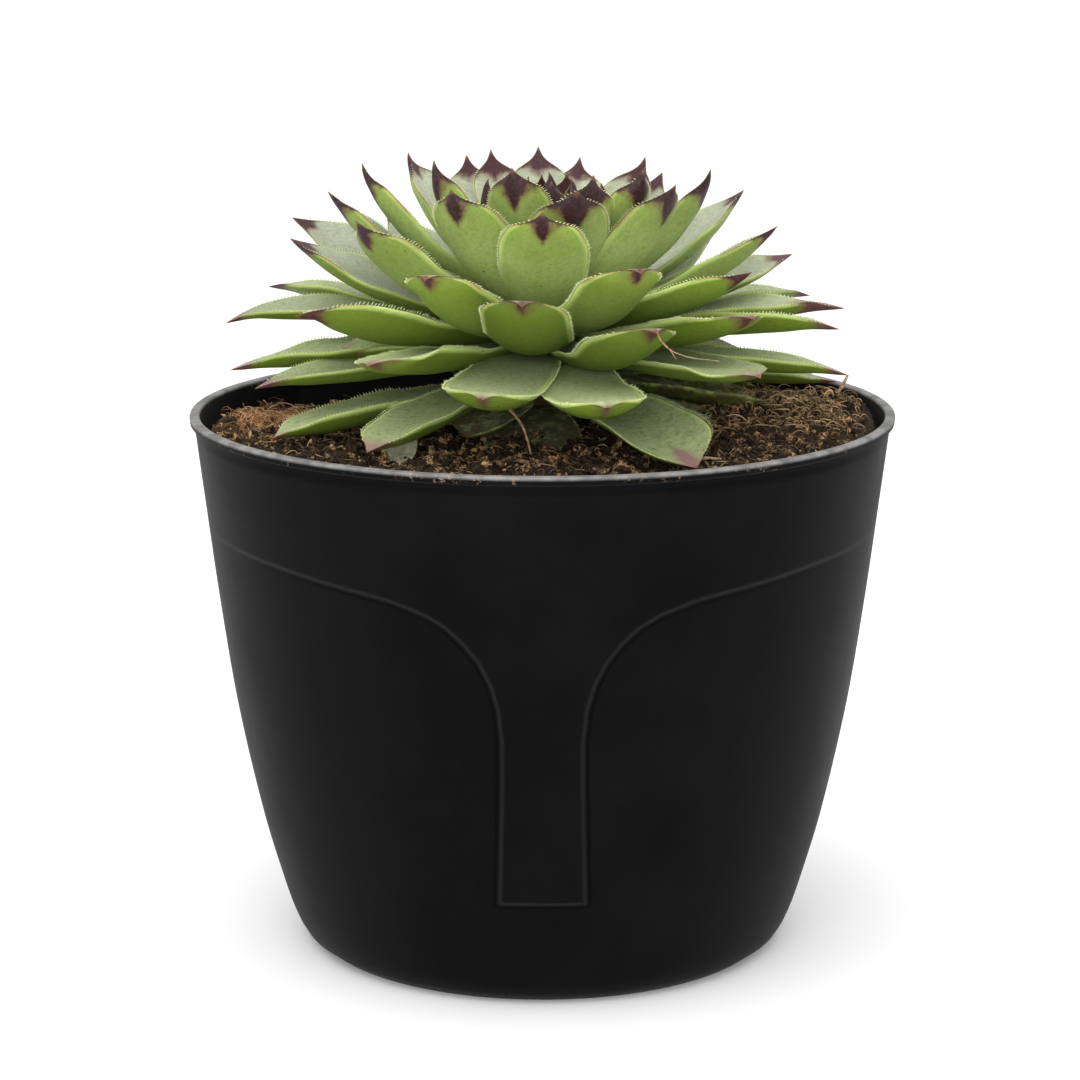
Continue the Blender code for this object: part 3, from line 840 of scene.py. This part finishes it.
def outline():
    """The T's closed outline, (across, height) points in millimetres."""
    right = [(BAND_EDGE[0][0], BAND_TOP), *BAND_EDGE, *BAND_TURN, *POST]
    return np.array(right + [(-x, z) for x, z in reversed(right)])


def inside_by(points, corners):
    """How far each point lies inside a closed outline; negative outside it."""
    least = np.full(len(points), 1e9)
    crossings = np.zeros(len(points), int)
    for a, b in zip(corners, np.roll(corners, -1, axis=0)):
        step = b - a
        share = np.clip(((points - a) @ step) / (step @ step), 0, 1)
        least = np.minimum(least, np.linalg.norm(points - a - share[:, None] * step, axis=1))
        spans = (a[1] > points[:, 1]) != (b[1] > points[:, 1])
        if step[1]:
            crossings += spans & (points[:, 0] < a[0] + (points[:, 1] - a[1]) * step[0] / step[1])
    return np.where(crossings % 2 == 1, least, -least)


class HouseleekPot(bpy.types.PropertyGroup):
    relief: size_setting("Relief", "Height of the raised T in millimetres", 1.0, min=0.0, max=3.0)
    lip_round: size_setting("Lip rounding", "Rounding of the lip in millimetres", 0.45, min=0.1, max=0.9)
    plastic: colour_setting("Plastic", "Colour of the pot", (0.0016, 0.0016, 0.0017))
    # The crest's colour is a painted highlight along the raised edge.
    highlit: colour_setting("Highlit edge", "Colour of the relief's rubbed edge", (0.009, 0.009, 0.009))


def pot_finish(colours):
    finish = Finish("matte_plastic")
    grain = finish.noise(0.22, 2.0, 0.6)
    smudge = finish.noise(24.0, 4.0, 0.6)
    colour = finish.blend(finish.soft(smudge, 0.3, 0.75), colours.plastic, tinted(colours.plastic, 2.2))
    # The relief's edge is painted lighter along its crest, a painted highlight, and darker along its foot, a
    # painted shade.
    inside, mix_share, _ = finish.vector("relief")
    crest = finish.times(finish.soft(inside, -0.35, 0.1), finish.soft(inside, 0.2, 0.75, 1.0, 0.0))
    foot = finish.times(finish.soft(inside, -1.3, -0.75), finish.soft(inside, -0.6, -0.3, 1.0, 0.0))
    colour = finish.blend(finish.times(crest, mix_share), colour, colours.highlit)
    colour = finish.blend(finish.times(foot, mix_share), colour, tinted(colours.plastic, 0.2))
    height = finish.node("SeparateXYZ", finish.place()).outputs[2]
    # The lip's top is painted a mottled light grey: a painted sheen of the black plastic.
    on_lip = finish.soft(height, 0.09915, 0.09985)
    lip_mottle = finish.soft(finish.noise(3.0, 3.0), 0.3, 0.7)
    lip_sheen = finish.blend(lip_mottle, (0.13, 0.13, 0.13), (0.25, 0.247, 0.24))
    colour = finish.blend(on_lip, colour, lip_sheen)
    grains = finish.soft(finish.noise(0.9, 5.0, 0.7), 0.56, 0.64)
    dirt = finish.times(grains, finish.soft(finish.noise(16.0, 2.0), 0.46, 0.6))
    colour = finish.blend(finish.times(dirt, finish.soft(height, 0.0980, 0.0997)), colour, (0.30, 0.20, 0.13))
    finish.bump(grain, 0.05, 0.4)
    return finish.set(
        Base_Color=colour,
        Roughness=finish.soft(smudge, 0.3, 0.8, 0.52, 0.64),
        Specular_IOR_Level=0.035,
        Sheen_Weight=0.04,
        Sheen_Roughness=0.4,
    )


class HOUSELEEK_OT_pot(bpy.types.Operator):
    """Build the plastic pot with its raised T and rolled lip"""

    bl_idname = "houseleek.pot"
    bl_label = "Pot"

    def execute(self, context):
        sizes = context.scene.houseleek_pot
        top, rounding = POT_SIDE[-1][1], sizes.lip_round
        steps = int(top / POT_RING)
        side = [(pot_radius(z), z) for z in (top * i / steps for i in range(steps + 1))]
        inner_lip = LIP_RADIUS - WALL
        lip = [(LIP_RADIUS - 0.12, RIM_HEIGHT - LIP_DEPTH)]
        for centre, first in ((LIP_RADIUS - rounding, 0), (inner_lip + rounding, 90)):
            for angle in (math.radians(first + 18 * i) for i in range(6)):
                sunk = rounding * (1 - math.sin(angle))
                lip.append((centre + rounding * math.cos(angle), RIM_HEIGHT - sunk))
        lining = [(pot_radius(z) - WALL, z) for z in LINING_HEIGHTS]
        lining[0] = (inner_lip - 0.2, LINING_HEIGHTS[0])
        recess = [(CENTRE_RADIUS, FOOT_DEPTH), (FOOT_INNER_RADIUS - FOOT_DEPTH, FOOT_DEPTH)]
        base = [*recess, (FOOT_INNER_RADIUS, 0.0)]
        floor = [(FLOOR_RADIUS, POT_FLOOR), (CENTRE_RADIUS, POT_FLOOR)]
        pot = turned("pot_shell", [*base, *side, *lip, *lining, *floor], POT_SEGMENTS)
        corners = outline()

        def by_outline(middles):
            """The outer faces under the lip that lie near the T's outline."""
            near = np.abs(inside_by(middles[:, (0, 2)], corners)) < RELIEF_NEAR
            outer = np.hypot(middles[:, 0], middles[:, 1]) > [pot_radius(z) - 1.0 for z in middles[:, 2]]
            return near & outer & (middles[:, 2] < top - 0.3)

        with editing(pot, selected=False):
            select_where(pot, by_outline)
            bpy.ops.mesh.subdivide(number_cuts=RELIEF_CUTS)
        points = points_of(pot) / MM
        radii = np.hypot(points[:, 0], points[:, 1])
        true = np.array([pot_radius(z) for z in points[:, 2]])
        outside = (radii > true - 1.0) & (points[:, 2] < top - 0.01) & (points[:, 2] > 0.5)
        points[outside, :2] *= (true / radii)[outside, None]
        inside = inside_by(points[:, (0, 2)], corners)
        raised = eased(inside, -0.5 * RELIEF_EDGE, 0.5 * RELIEF_EDGE) * outside
        points[:, 1] *= 1 + sizes.relief / LIP_RADIUS * raised
        place_points(pot, points * MM)
        only(pot)
        bpy.ops.object.shade_smooth_by_angle(angle=math.radians(40))
        # Strength of the relief's painted highlight and painted shade, fading towards the sides and the lip.
        mix_share = outside * (1 - eased(np.abs(points[:, 0]), 50.0, 58.0)) * (1 - eased(points[:, 2], 90.0, 93.0))
        paint(pot, "relief", np.c_[np.clip(inside, -5, 5), mix_share, mix_share])
        dressed(pot, pot_finish(sizes), "pot", "pot")
        return {"FINISHED"}


# Peat


class HouseleekSoil(bpy.types.PropertyGroup):
    clod: size_setting("Clods", "Height of the clods in millimetres", 3.1, min=0.0, max=5.0)
    crumbs: count_setting("Crumbs", "Loose crumbs on the peat", 5600, 0)
    fibres: count_setting("Fibres", "Dry fibres on the peat", 5600, 0)
    dark: colour_setting("Dark peat", "Colour of the darkest peat", (0.012, 0.007, 0.004))
    light: colour_setting("Light peat", "Colour of the lightest peat", (0.64, 0.395, 0.185))
    rust: colour_setting("Rusty peat", "Colour of the reddish patch", (0.70, 0.38, 0.17))
    fibre: colour_setting("Fibre", "Colour of the dry fibres", (0.86, 0.58, 0.30))


def heap(x, y, middle, spread):
    """1 in the middle of a heap, fading outwards."""
    return math.exp(-((x - middle[0]) ** 2 + (y - middle[1]) ** 2) / spread**2)


def ground(x, y, clod):
    """Height of the peat in millimetres: a heap at the right, lower at the back, and clods all over."""
    away = math.hypot(x, y)
    angle = math.degrees(math.atan2(x, -y))
    level = SOIL_TOP + 2.7 + HEAP_RISE * heap(x, y, FIBRE_HEAP, HEAP_SPREAD)
    level -= DENT_DEPTH * heap(x, y, DENT, DENT_SPREAD)
    behind = math.exp(-(((abs(angle) - BACK_ANGLE) / BACK_SPREAD) ** 2))
    level -= BACK_FALL * behind * float(eased(away, 25, 50))
    level += 1.3 * noise.noise(Vector((x, y, 0)) / SWELL_SIZE)
    from_clod = noise.voronoi(Vector((x, y, level)) / CLOD_SIZE)[0][0]
    from_lump = noise.voronoi(Vector((x, y, 7.0)) / LUMP_SIZE)[0][0]
    level += clod * (0.36 - from_clod) + 0.45 * clod * (0.3 - from_lump)
    level += 0.25 * noise.noise(Vector((x, y, 3)) / GRIT_SIZE)
    return level - 1.2 * float(eased(away, 58, 62)) - 0.5


def soil_finish(colours):
    """Tone, kind (0 earth, 1 fibre) and rustiness come with the piece."""
    finish = Finish("peat")
    tone, kind, rusty = finish.vector("grit")
    patches = finish.noise(5.0, 4.0, 0.65)
    fine = finish.noise(0.5, 5.0, 0.75)
    share = finish.times(finish.soft(fine, 0.45, 0.62), finish.soft(patches, 0.35, 0.6, 0.25, 1.0))
    share = finish.times(share, finish.soft(tone, 0.2, 0.75, 0.1, 1.0))
    earth = finish.blend(share, colours.dark, colours.light)
    earth = finish.blend(finish.times(finish.soft(tone, 0.55, 1.0), 0.65), earth, colours.light)
    reddened = finish.times(rusty, finish.soft(share, 0.0, 0.6, 0.1, 0.9))
    earth = finish.blend(reddened, earth, colours.rust)
    straw = finish.blend(tone, tinted(colours.dark, 3.0), colours.fibre)
    straw = finish.blend(finish.times(rusty, 0.6), straw, colours.rust)
    colour = finish.blend(kind, earth, straw)
    finish.bump(fine, 0.3, 0.8)
    return finish.set(Base_Color=colour, Roughness=0.88, Specular_IOR_Level=0.2)


def scattered(name, shapes):
    """One piece from many small shapes, each (points, faces, attribute row)."""
    points, faces, rows, first = [], [], [], 0
    for verts, polygons, row in shapes:
        points.append(verts)
        faces.extend([[first + i for i in polygon] for polygon in polygons])
        rows.append(np.tile(row, (len(verts), 1)))
        first += len(verts)
    mesh = bpy.data.meshes.new(name)
    mesh.from_pydata((np.vstack(points) * MM).tolist(), [], faces)
    piece = bpy.data.objects.new(name, mesh)
    bpy.context.scene.collection.objects.link(piece)
    paint(piece, "grit", np.vstack(rows))
    return piece


def crumb_blank(levels):
    """A round crumb one millimetre in radius, as points and faces."""
    only()
    bpy.ops.mesh.primitive_ico_sphere_add(subdivisions=levels, radius=1.0)
    blank = added("crumb")
    points, faces = points_of(blank), [tuple(f.vertices) for f in blank.data.polygons]
    bpy.data.objects.remove(blank)
    return points, faces


def strand(path, radii, sides=3):
    """A thin closed tube along a path, as points and faces."""
    path = [Vector(p) for p in path]
    points, faces = [], []
    for i, here in enumerate(path):
        step = (path[min(i + 1, len(path) - 1)] - path[max(i - 1, 0)]).normalized()
        side = step.cross(Vector((0, 0, 1)))
        side = side.normalized() if side.length > 1e-4 else Vector((1, 0, 0))
        over = side.cross(step)
        for k in range(sides):
            angle = 2 * math.pi * k / sides
            points.append(here + radii[i] * (math.cos(angle) * side + math.sin(angle) * over))
        if i:
            low = (i - 1) * sides
            for k in range(sides):
                nxt = (k + 1) % sides
                faces.append((low + k, low + nxt, low + sides + nxt, low + sides + k))
    faces += [range(sides)[::-1], range((len(path) - 1) * sides, len(path) * sides)]
    return np.array(points), [tuple(reversed(face)) for face in faces]


def on_peat(draw, spread=0.985):
    """A place drawn anywhere on the peat."""
    away, angle = SOIL_RADIUS * spread * math.sqrt(draw.random()), draw.uniform(0, 2 * math.pi)
    return away * math.cos(angle), away * math.sin(angle)


def rustiness(x, y):
    """How reddish the peat is, from 0 to 1."""
    return min(1.0, 1.3 * heap(x, y, RUSTY_PATCH, 13))


class HOUSELEEK_OT_soil(bpy.types.Operator):
    """Fill the pot with crumbly, fibrous peat"""

    bl_idname = "houseleek.soil"
    bl_label = "Peat"

    def lay_bed(self, finish, clod):
        """The peat's uneven surface, a grid cut round, with a side and a bottom."""
        cuts = int(2 * SOIL_RADIUS / SOIL_STEP)
        only()
        bpy.ops.mesh.primitive_grid_add(x_subdivisions=cuts, y_subdivisions=cuts, size=2 * SOIL_RADIUS * MM)
        bpy.context.object.location.z = SOIL_TOP * MM
        bed = settled(added("peat_bed"))
        with editing(bed, selected=False):
            select_where(bed, lambda middles: np.hypot(middles[:, 0], middles[:, 1]) > SOIL_RADIUS)
            bpy.ops.mesh.delete(type="FACE")
        points = points_of(bed) / MM
        points[:, 2] = [ground(x, y, clod) for x, y, _ in points]
        place_points(bed, points * MM)
        with editing(bed, selected=False):
            bpy.ops.mesh.select_non_manifold()
            bpy.ops.mesh.extrude_region_move(TRANSFORM_OT_translate={"value": (0, 0, -0.5 * SOIL_DEPTH * MM)})
            narrower, bottom = (SOIL_TAPER, SOIL_TAPER, 0), (0, 0, (SOIL_TOP - SOIL_DEPTH) * MM)
            bpy.ops.transform.resize(value=narrower, center_override=bottom)
            bpy.ops.mesh.edge_face_add()
            faced_outwards()
        bpy.ops.object.shade_smooth_by_angle(angle=math.radians(50))
        points = points_of(bed) / MM
        level = np.array([ground(x, y, 0) for x, y in points[:, :2]])
        # The bed's tone follows its height: painted shade in the hollows and painted light on the clods'
        # tops.
        raised = np.clip((points[:, 2] - level) / clod + 0.25, 0, 1)
        rusty = [rustiness(x, y) for x, y in points[:, :2]]
        paint(bed, "grit", np.c_[raised, np.zeros(len(points)), rusty])
        dressed(bed, finish, "soil", "soil")

    def execute(self, context):
        sizes = context.scene.houseleek_soil
        finish = soil_finish(sizes)
        draw = random.Random(PEAT_SEED)
        self.lay_bed(finish, sizes.clod)
        small, large = crumb_blank(1), crumb_blank(2)
        crumbs = []
        for _ in range(sizes.crumbs):
            x, y = on_peat(draw)
            size = min(LARGEST_CRUMB, CRUMB_SIZE * math.exp(draw.gauss(0.3, 0.6)))
            base, faces = large if size > LARGE_CRUMB else small
            turn = np.array(Euler([draw.uniform(0, 6.28) for _ in range(3)]).to_matrix())
            shift = Vector([draw.uniform(0, 90) for _ in range(3)])
            lumps = np.array([0.7 + 0.95 * noise.noise(Vector(p) * 1.5 + shift) for p in base])
            stretch = np.array([draw.uniform(0.6, 1.4), draw.uniform(0.6, 1.1), draw.uniform(0.5, 0.95)])
            z = ground(x, y, sizes.clod) + 0.25 * size
            # Four in ten are light, and large ones are never the lightest.
            tone = draw.uniform(0.7, 1.0) if draw.random() < 0.42 else draw.uniform(0.0, 0.2)
            tone = min(tone, 0.62) if size > LARGE_CRUMB else tone
            placed = (base * lumps[:, None] * stretch * size) @ turn.T + (x, y, z)
            crumbs.append((placed, faces, (tone, 0, rustiness(x, y))))
        piece = scattered("peat_crumbs", crumbs)
        only(piece)
        bpy.ops.object.shade_smooth_by_angle(angle=math.radians(35))
        dressed(piece, finish, "soil")

        fibres = []
        while len(fibres) < sizes.fibres:
            x, y = on_peat(draw, 0.97)
            matted = max(heap(x, y, FIBRE_HEAP, 21), 0.7 * heap(x, y, RUSTY_PATCH, 15))
            if draw.random() > 0.22 + 0.78 * matted:
                continue
            length = draw.uniform(*FIBRE_LENGTH) * (1.0 + 0.8 * matted)
            length *= 1.6 if draw.random() < 0.2 else 1.0
            heading, bend = draw.uniform(0, 6.28), draw.choice((-1, 1)) * draw.uniform(0.2, 1.7)
            lift, path = draw.uniform(0.1, 0.6 + 1.2 * matted), []
            base, fall = ground(x, y, sizes.clod), draw.uniform(-0.15, 0.3) * lift
            tint, steps = rustiness(x, y), len(FIBRE_TAPER) - 1
            for i in range(steps + 1):
                z = 0.5 * max(ground(x, y, sizes.clod), base) + 0.5 * base
                path.append((x, y, z + 0.15 + lift * math.sin(math.pi * i / steps) + fall * i))
                x += length / steps * math.cos(heading)
                y += length / steps * math.sin(heading)
                heading += bend * draw.uniform(0.1, 0.9)
            if max(math.hypot(px, py) for px, py, _ in path) > SOIL_RADIUS * 0.99:
                continue
            radius = draw.uniform(*FIBRE_RADIUS)
            points, faces = strand(path, [radius * share for share in FIBRE_TAPER])
            tone = (0.55 + 0.45 * matted) * draw.random() ** (2.2 - 0.8 * matted)
            fibres.append((points, faces, (tone, 1, tint)))
        dressed(scattered("peat_fibres", fibres), finish, "soil")
        return {"FINISHED"}


# Dry bits on the peat


def dry_bit(name, finish, path, width):
    """A dry stalk: a round curve through points of (x, y, height) in millimetres, made a mesh."""
    only()
    bpy.ops.curve.primitive_bezier_curve_add(location=(0, 0, 0))
    stalk = bpy.context.object
    stalk.data.bevel_depth, stalk.data.bevel_resolution = width / 2 * MM, 2
    stalk.data.resolution_u, stalk.data.use_fill_caps = 6, True
    spline = stalk.data.splines[0]
    spline.bezier_points.add(len(path) - 2)
    for i, (point, place) in enumerate(zip(spline.bezier_points, path)):
        point.co = Vector(place) * MM
        point.handle_left_type = point.handle_right_type = "AUTO"
        point.radius = 1.0 - 0.5 * i / (len(path) - 1)
    only(stalk)
    bpy.ops.object.convert(target="MESH")
    piece = settled(added(name))
    points = points_of(piece) / MM
    uneven = [Vector(noise.noise_vector(Vector(p) / 1.2)) * 0.16 * width for p in points]
    place_points(piece, (points + np.array(uneven)) * MM)
    bpy.ops.object.shade_smooth()
    return dressed(piece, finish, "soil")


class HOUSELEEK_OT_litter(bpy.types.Operator):
    """Lay dry twigs, straws and an old leaf scrap on the peat"""

    bl_idname = "houseleek.litter"
    bl_label = "Dry bits"

    def execute(self, context):
        finish = Finish("dry_stalk")
        bark = finish.noise(0.7, 4.0, 0.7)
        colour = finish.blend(finish.soft(bark, 0.3, 0.7), (0.15, 0.08, 0.045), (0.46, 0.30, 0.18))
        finish.bump(bark, 0.15, 0.7)
        finish.set(Base_Color=colour, Roughness=0.75, Specular_IOR_Level=0.3)
        # Unless it is seeded, the vector noise that makes the bits uneven starts from the clock.
        noise.seed_set(LITTER_SEED)
        for name, width, path in DRY_BITS:
            dry_bit(name, finish.material, path, width)
        scrap = Finish("leaf_scrap")
        veins = scrap.noise(1.2, 4.0, 0.6)
        colour = scrap.blend(scrap.soft(veins, 0.3, 0.7), (0.34, 0.34, 0.22), (0.58, 0.58, 0.42))
        scrap.set(Base_Color=colour, Roughness=0.7)
        scrap.bump(veins, 0.2, 0.6)
        only()
        bpy.ops.mesh.primitive_grid_add(x_subdivisions=10, y_subdivisions=14, size=MM)
        piece = settled(added("leaf_scrap"))
        across, along, _ = points_of(piece).T / MM
        wide, long = SCRAP_WIDTH * (1 - 1.1 * along**2) * across, SCRAP_LENGTH * along
        curl = 1.4 * (across * 2) ** 2 + 0.5 * np.sin(5 * along)
        x, y, z = SCRAP_PLACE
        place_points(piece, np.c_[x + wide, y + long, z + curl * 0.6 + SCRAP_SLOPE * long] * MM)
        finished(piece, "SOLIDIFY", thickness=0.35 * MM, offset=0.0)
        bpy.ops.object.shade_smooth()
        dressed(piece, scrap.material, "soil")
        return {"FINISHED"}


# Stem


class HOUSELEEK_OT_stem(bpy.types.Operator):
    """Give the stem its own finish"""

    bl_idname = "houseleek.stem"
    bl_label = "Stem"

    def execute(self, context):
        finish = Finish("stem_bark_shaded")
        rings = finish.noise(1.6, 4.0, 0.7)
        # Dark bark colour, painted darker still as shade where the stem stands under the leaves.
        colour = finish.blend(finish.soft(rings, 0.35, 0.7), (0.05, 0.04, 0.015), (0.12, 0.10, 0.035))
        finish.bump(rings, 0.5, 0.8)
        finish.set(Base_Color=colour, Roughness=0.8)
        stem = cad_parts["stem"].data
        stem.materials.clear()
        stem.materials.append(finish.material)
        return {"FINISHED"}


# Stage


class HouseleekStage(bpy.types.PropertyGroup):
    lens: size_setting("Lens", "Focal length of the camera in millimetres", 116.21, min=20.0, max=300.0)
    distance: size_setting("Distance", "Distance of the camera from the pot's axis", 0.6352, unit="LENGTH")
    height: size_setting("Height", "Height of the camera above the floor", 0.2145, unit="LENGTH")
    pitch: size_setting("Pitch", "How far the camera looks down", math.radians(12.38), subtype="ANGLE")
    key: size_setting("Key light", "Power of the key light in watts", 6.8)
    fill: size_setting("Front light", "Power of the front light in watts", 7.5)


def lamp(name, power, size, location, target):
    """A square lamp that faces its target."""
    only()
    bpy.ops.object.light_add(type="AREA", location=location)
    light = added(name)
    light.data.energy, light.data.size = power, size
    light.rotation_euler = (Vector(target) - Vector(location)).to_track_quat("-Z", "Y").to_euler()


class HOUSELEEK_OT_stage(bpy.types.Operator):
    """Set up the floor, the soft light and the camera"""

    bl_idname = "houseleek.stage"
    bl_label = "Stage"

    def execute(self, context):
        sizes = context.scene.houseleek_stage
        only()
        bpy.ops.mesh.primitive_plane_add(size=8.0, location=(0, 0, -0.00005))
        floor = settled(added("floor"))
        finish = Finish("floor_white")
        paper = finish.noise(60.0, 2.0)
        white = finish.blend(finish.soft(paper, 0.2, 0.8), (0.96,) * 3, (0.975,) * 3)
        # The floor glows a little: painted light that pales the shadows on it.
        finish.set(Base_Color=white, Roughness=0.9, Emission_Color=(1.0, 1.0, 1.0), Emission_Strength=0.05)
        floor.data.materials.append(finish.material)
        world = bpy.data.worlds.new("soft_white")
        world.use_nodes = True
        background = world.node_tree.nodes["Background"].inputs
        background["Color"].default_value, background["Strength"].default_value = (1, 1, 1, 1), 1.0
        context.scene.world = world
        lamp("key_light", sizes.key, 1.2, (-0.12, -0.3, 1.1), (0, 0, 0.1))
        lamp("front_light", sizes.fill, 0.9, (-0.1, -1.0, 0.12), (0, 0, 0.12))
        only()
        place = (CAMERA_SIDE, -sizes.distance, sizes.height)
        bpy.ops.object.camera_add(location=place, rotation=(math.radians(90) - sizes.pitch, 0, 0))
        camera = added("camera")
        camera.data.lens, camera.data.sensor_width, camera.data.clip_start = sizes.lens, 36.0, 0.01
        context.scene.camera = camera
        context.scene.view_settings.view_transform = "Standard"
        return {"FINISHED"}


GROUPS = {
    "houseleek_leaves": HouseleekLeaves,
    "houseleek_pot": HouseleekPot,
    "houseleek_soil": HouseleekSoil,
    "houseleek_stage": HouseleekStage,
}
OPERATORS = (
    HOUSELEEK_OT_stage,
    HOUSELEEK_OT_pot,
    HOUSELEEK_OT_soil,
    HOUSELEEK_OT_litter,
    HOUSELEEK_OT_stem,
    HOUSELEEK_OT_leaves,
)


class HOUSELEEK_PT_panel(bpy.types.Panel):
    """Lists the pieces of the potted houseleek"""

    bl_label = "Potted Houseleek"
    bl_idname = "HOUSELEEK_PT_panel"
    bl_space_type = "VIEW_3D"
    bl_region_type = "UI"
    bl_category = "Houseleek"

    def draw(self, context):
        for operator in OPERATORS:
            self.layout.operator(operator.bl_idname)
        for name in GROUPS:
            group = getattr(context.scene, name)
            for prop in group.bl_rna.properties:
                if prop.identifier not in ("rna_type", "name"):
                    self.layout.prop(group, prop.identifier)


CLASSES = (*GROUPS.values(), *OPERATORS, HOUSELEEK_PT_panel)


def register():
    for cls in CLASSES:
        bpy.utils.register_class(cls)
    for name, group in GROUPS.items():
        setattr(bpy.types.Scene, name, bpy.props.PointerProperty(type=group))


def unregister():
    for name in GROUPS:
        delattr(bpy.types.Scene, name)
    for cls in reversed(CLASSES):
        bpy.utils.unregister_class(cls)


def main():
    register()
    for operator in OPERATORS:
        group, name = operator.bl_idname.split(".")
        getattr(getattr(bpy.ops, group), name)()


if __name__ == "__main__":
    main()
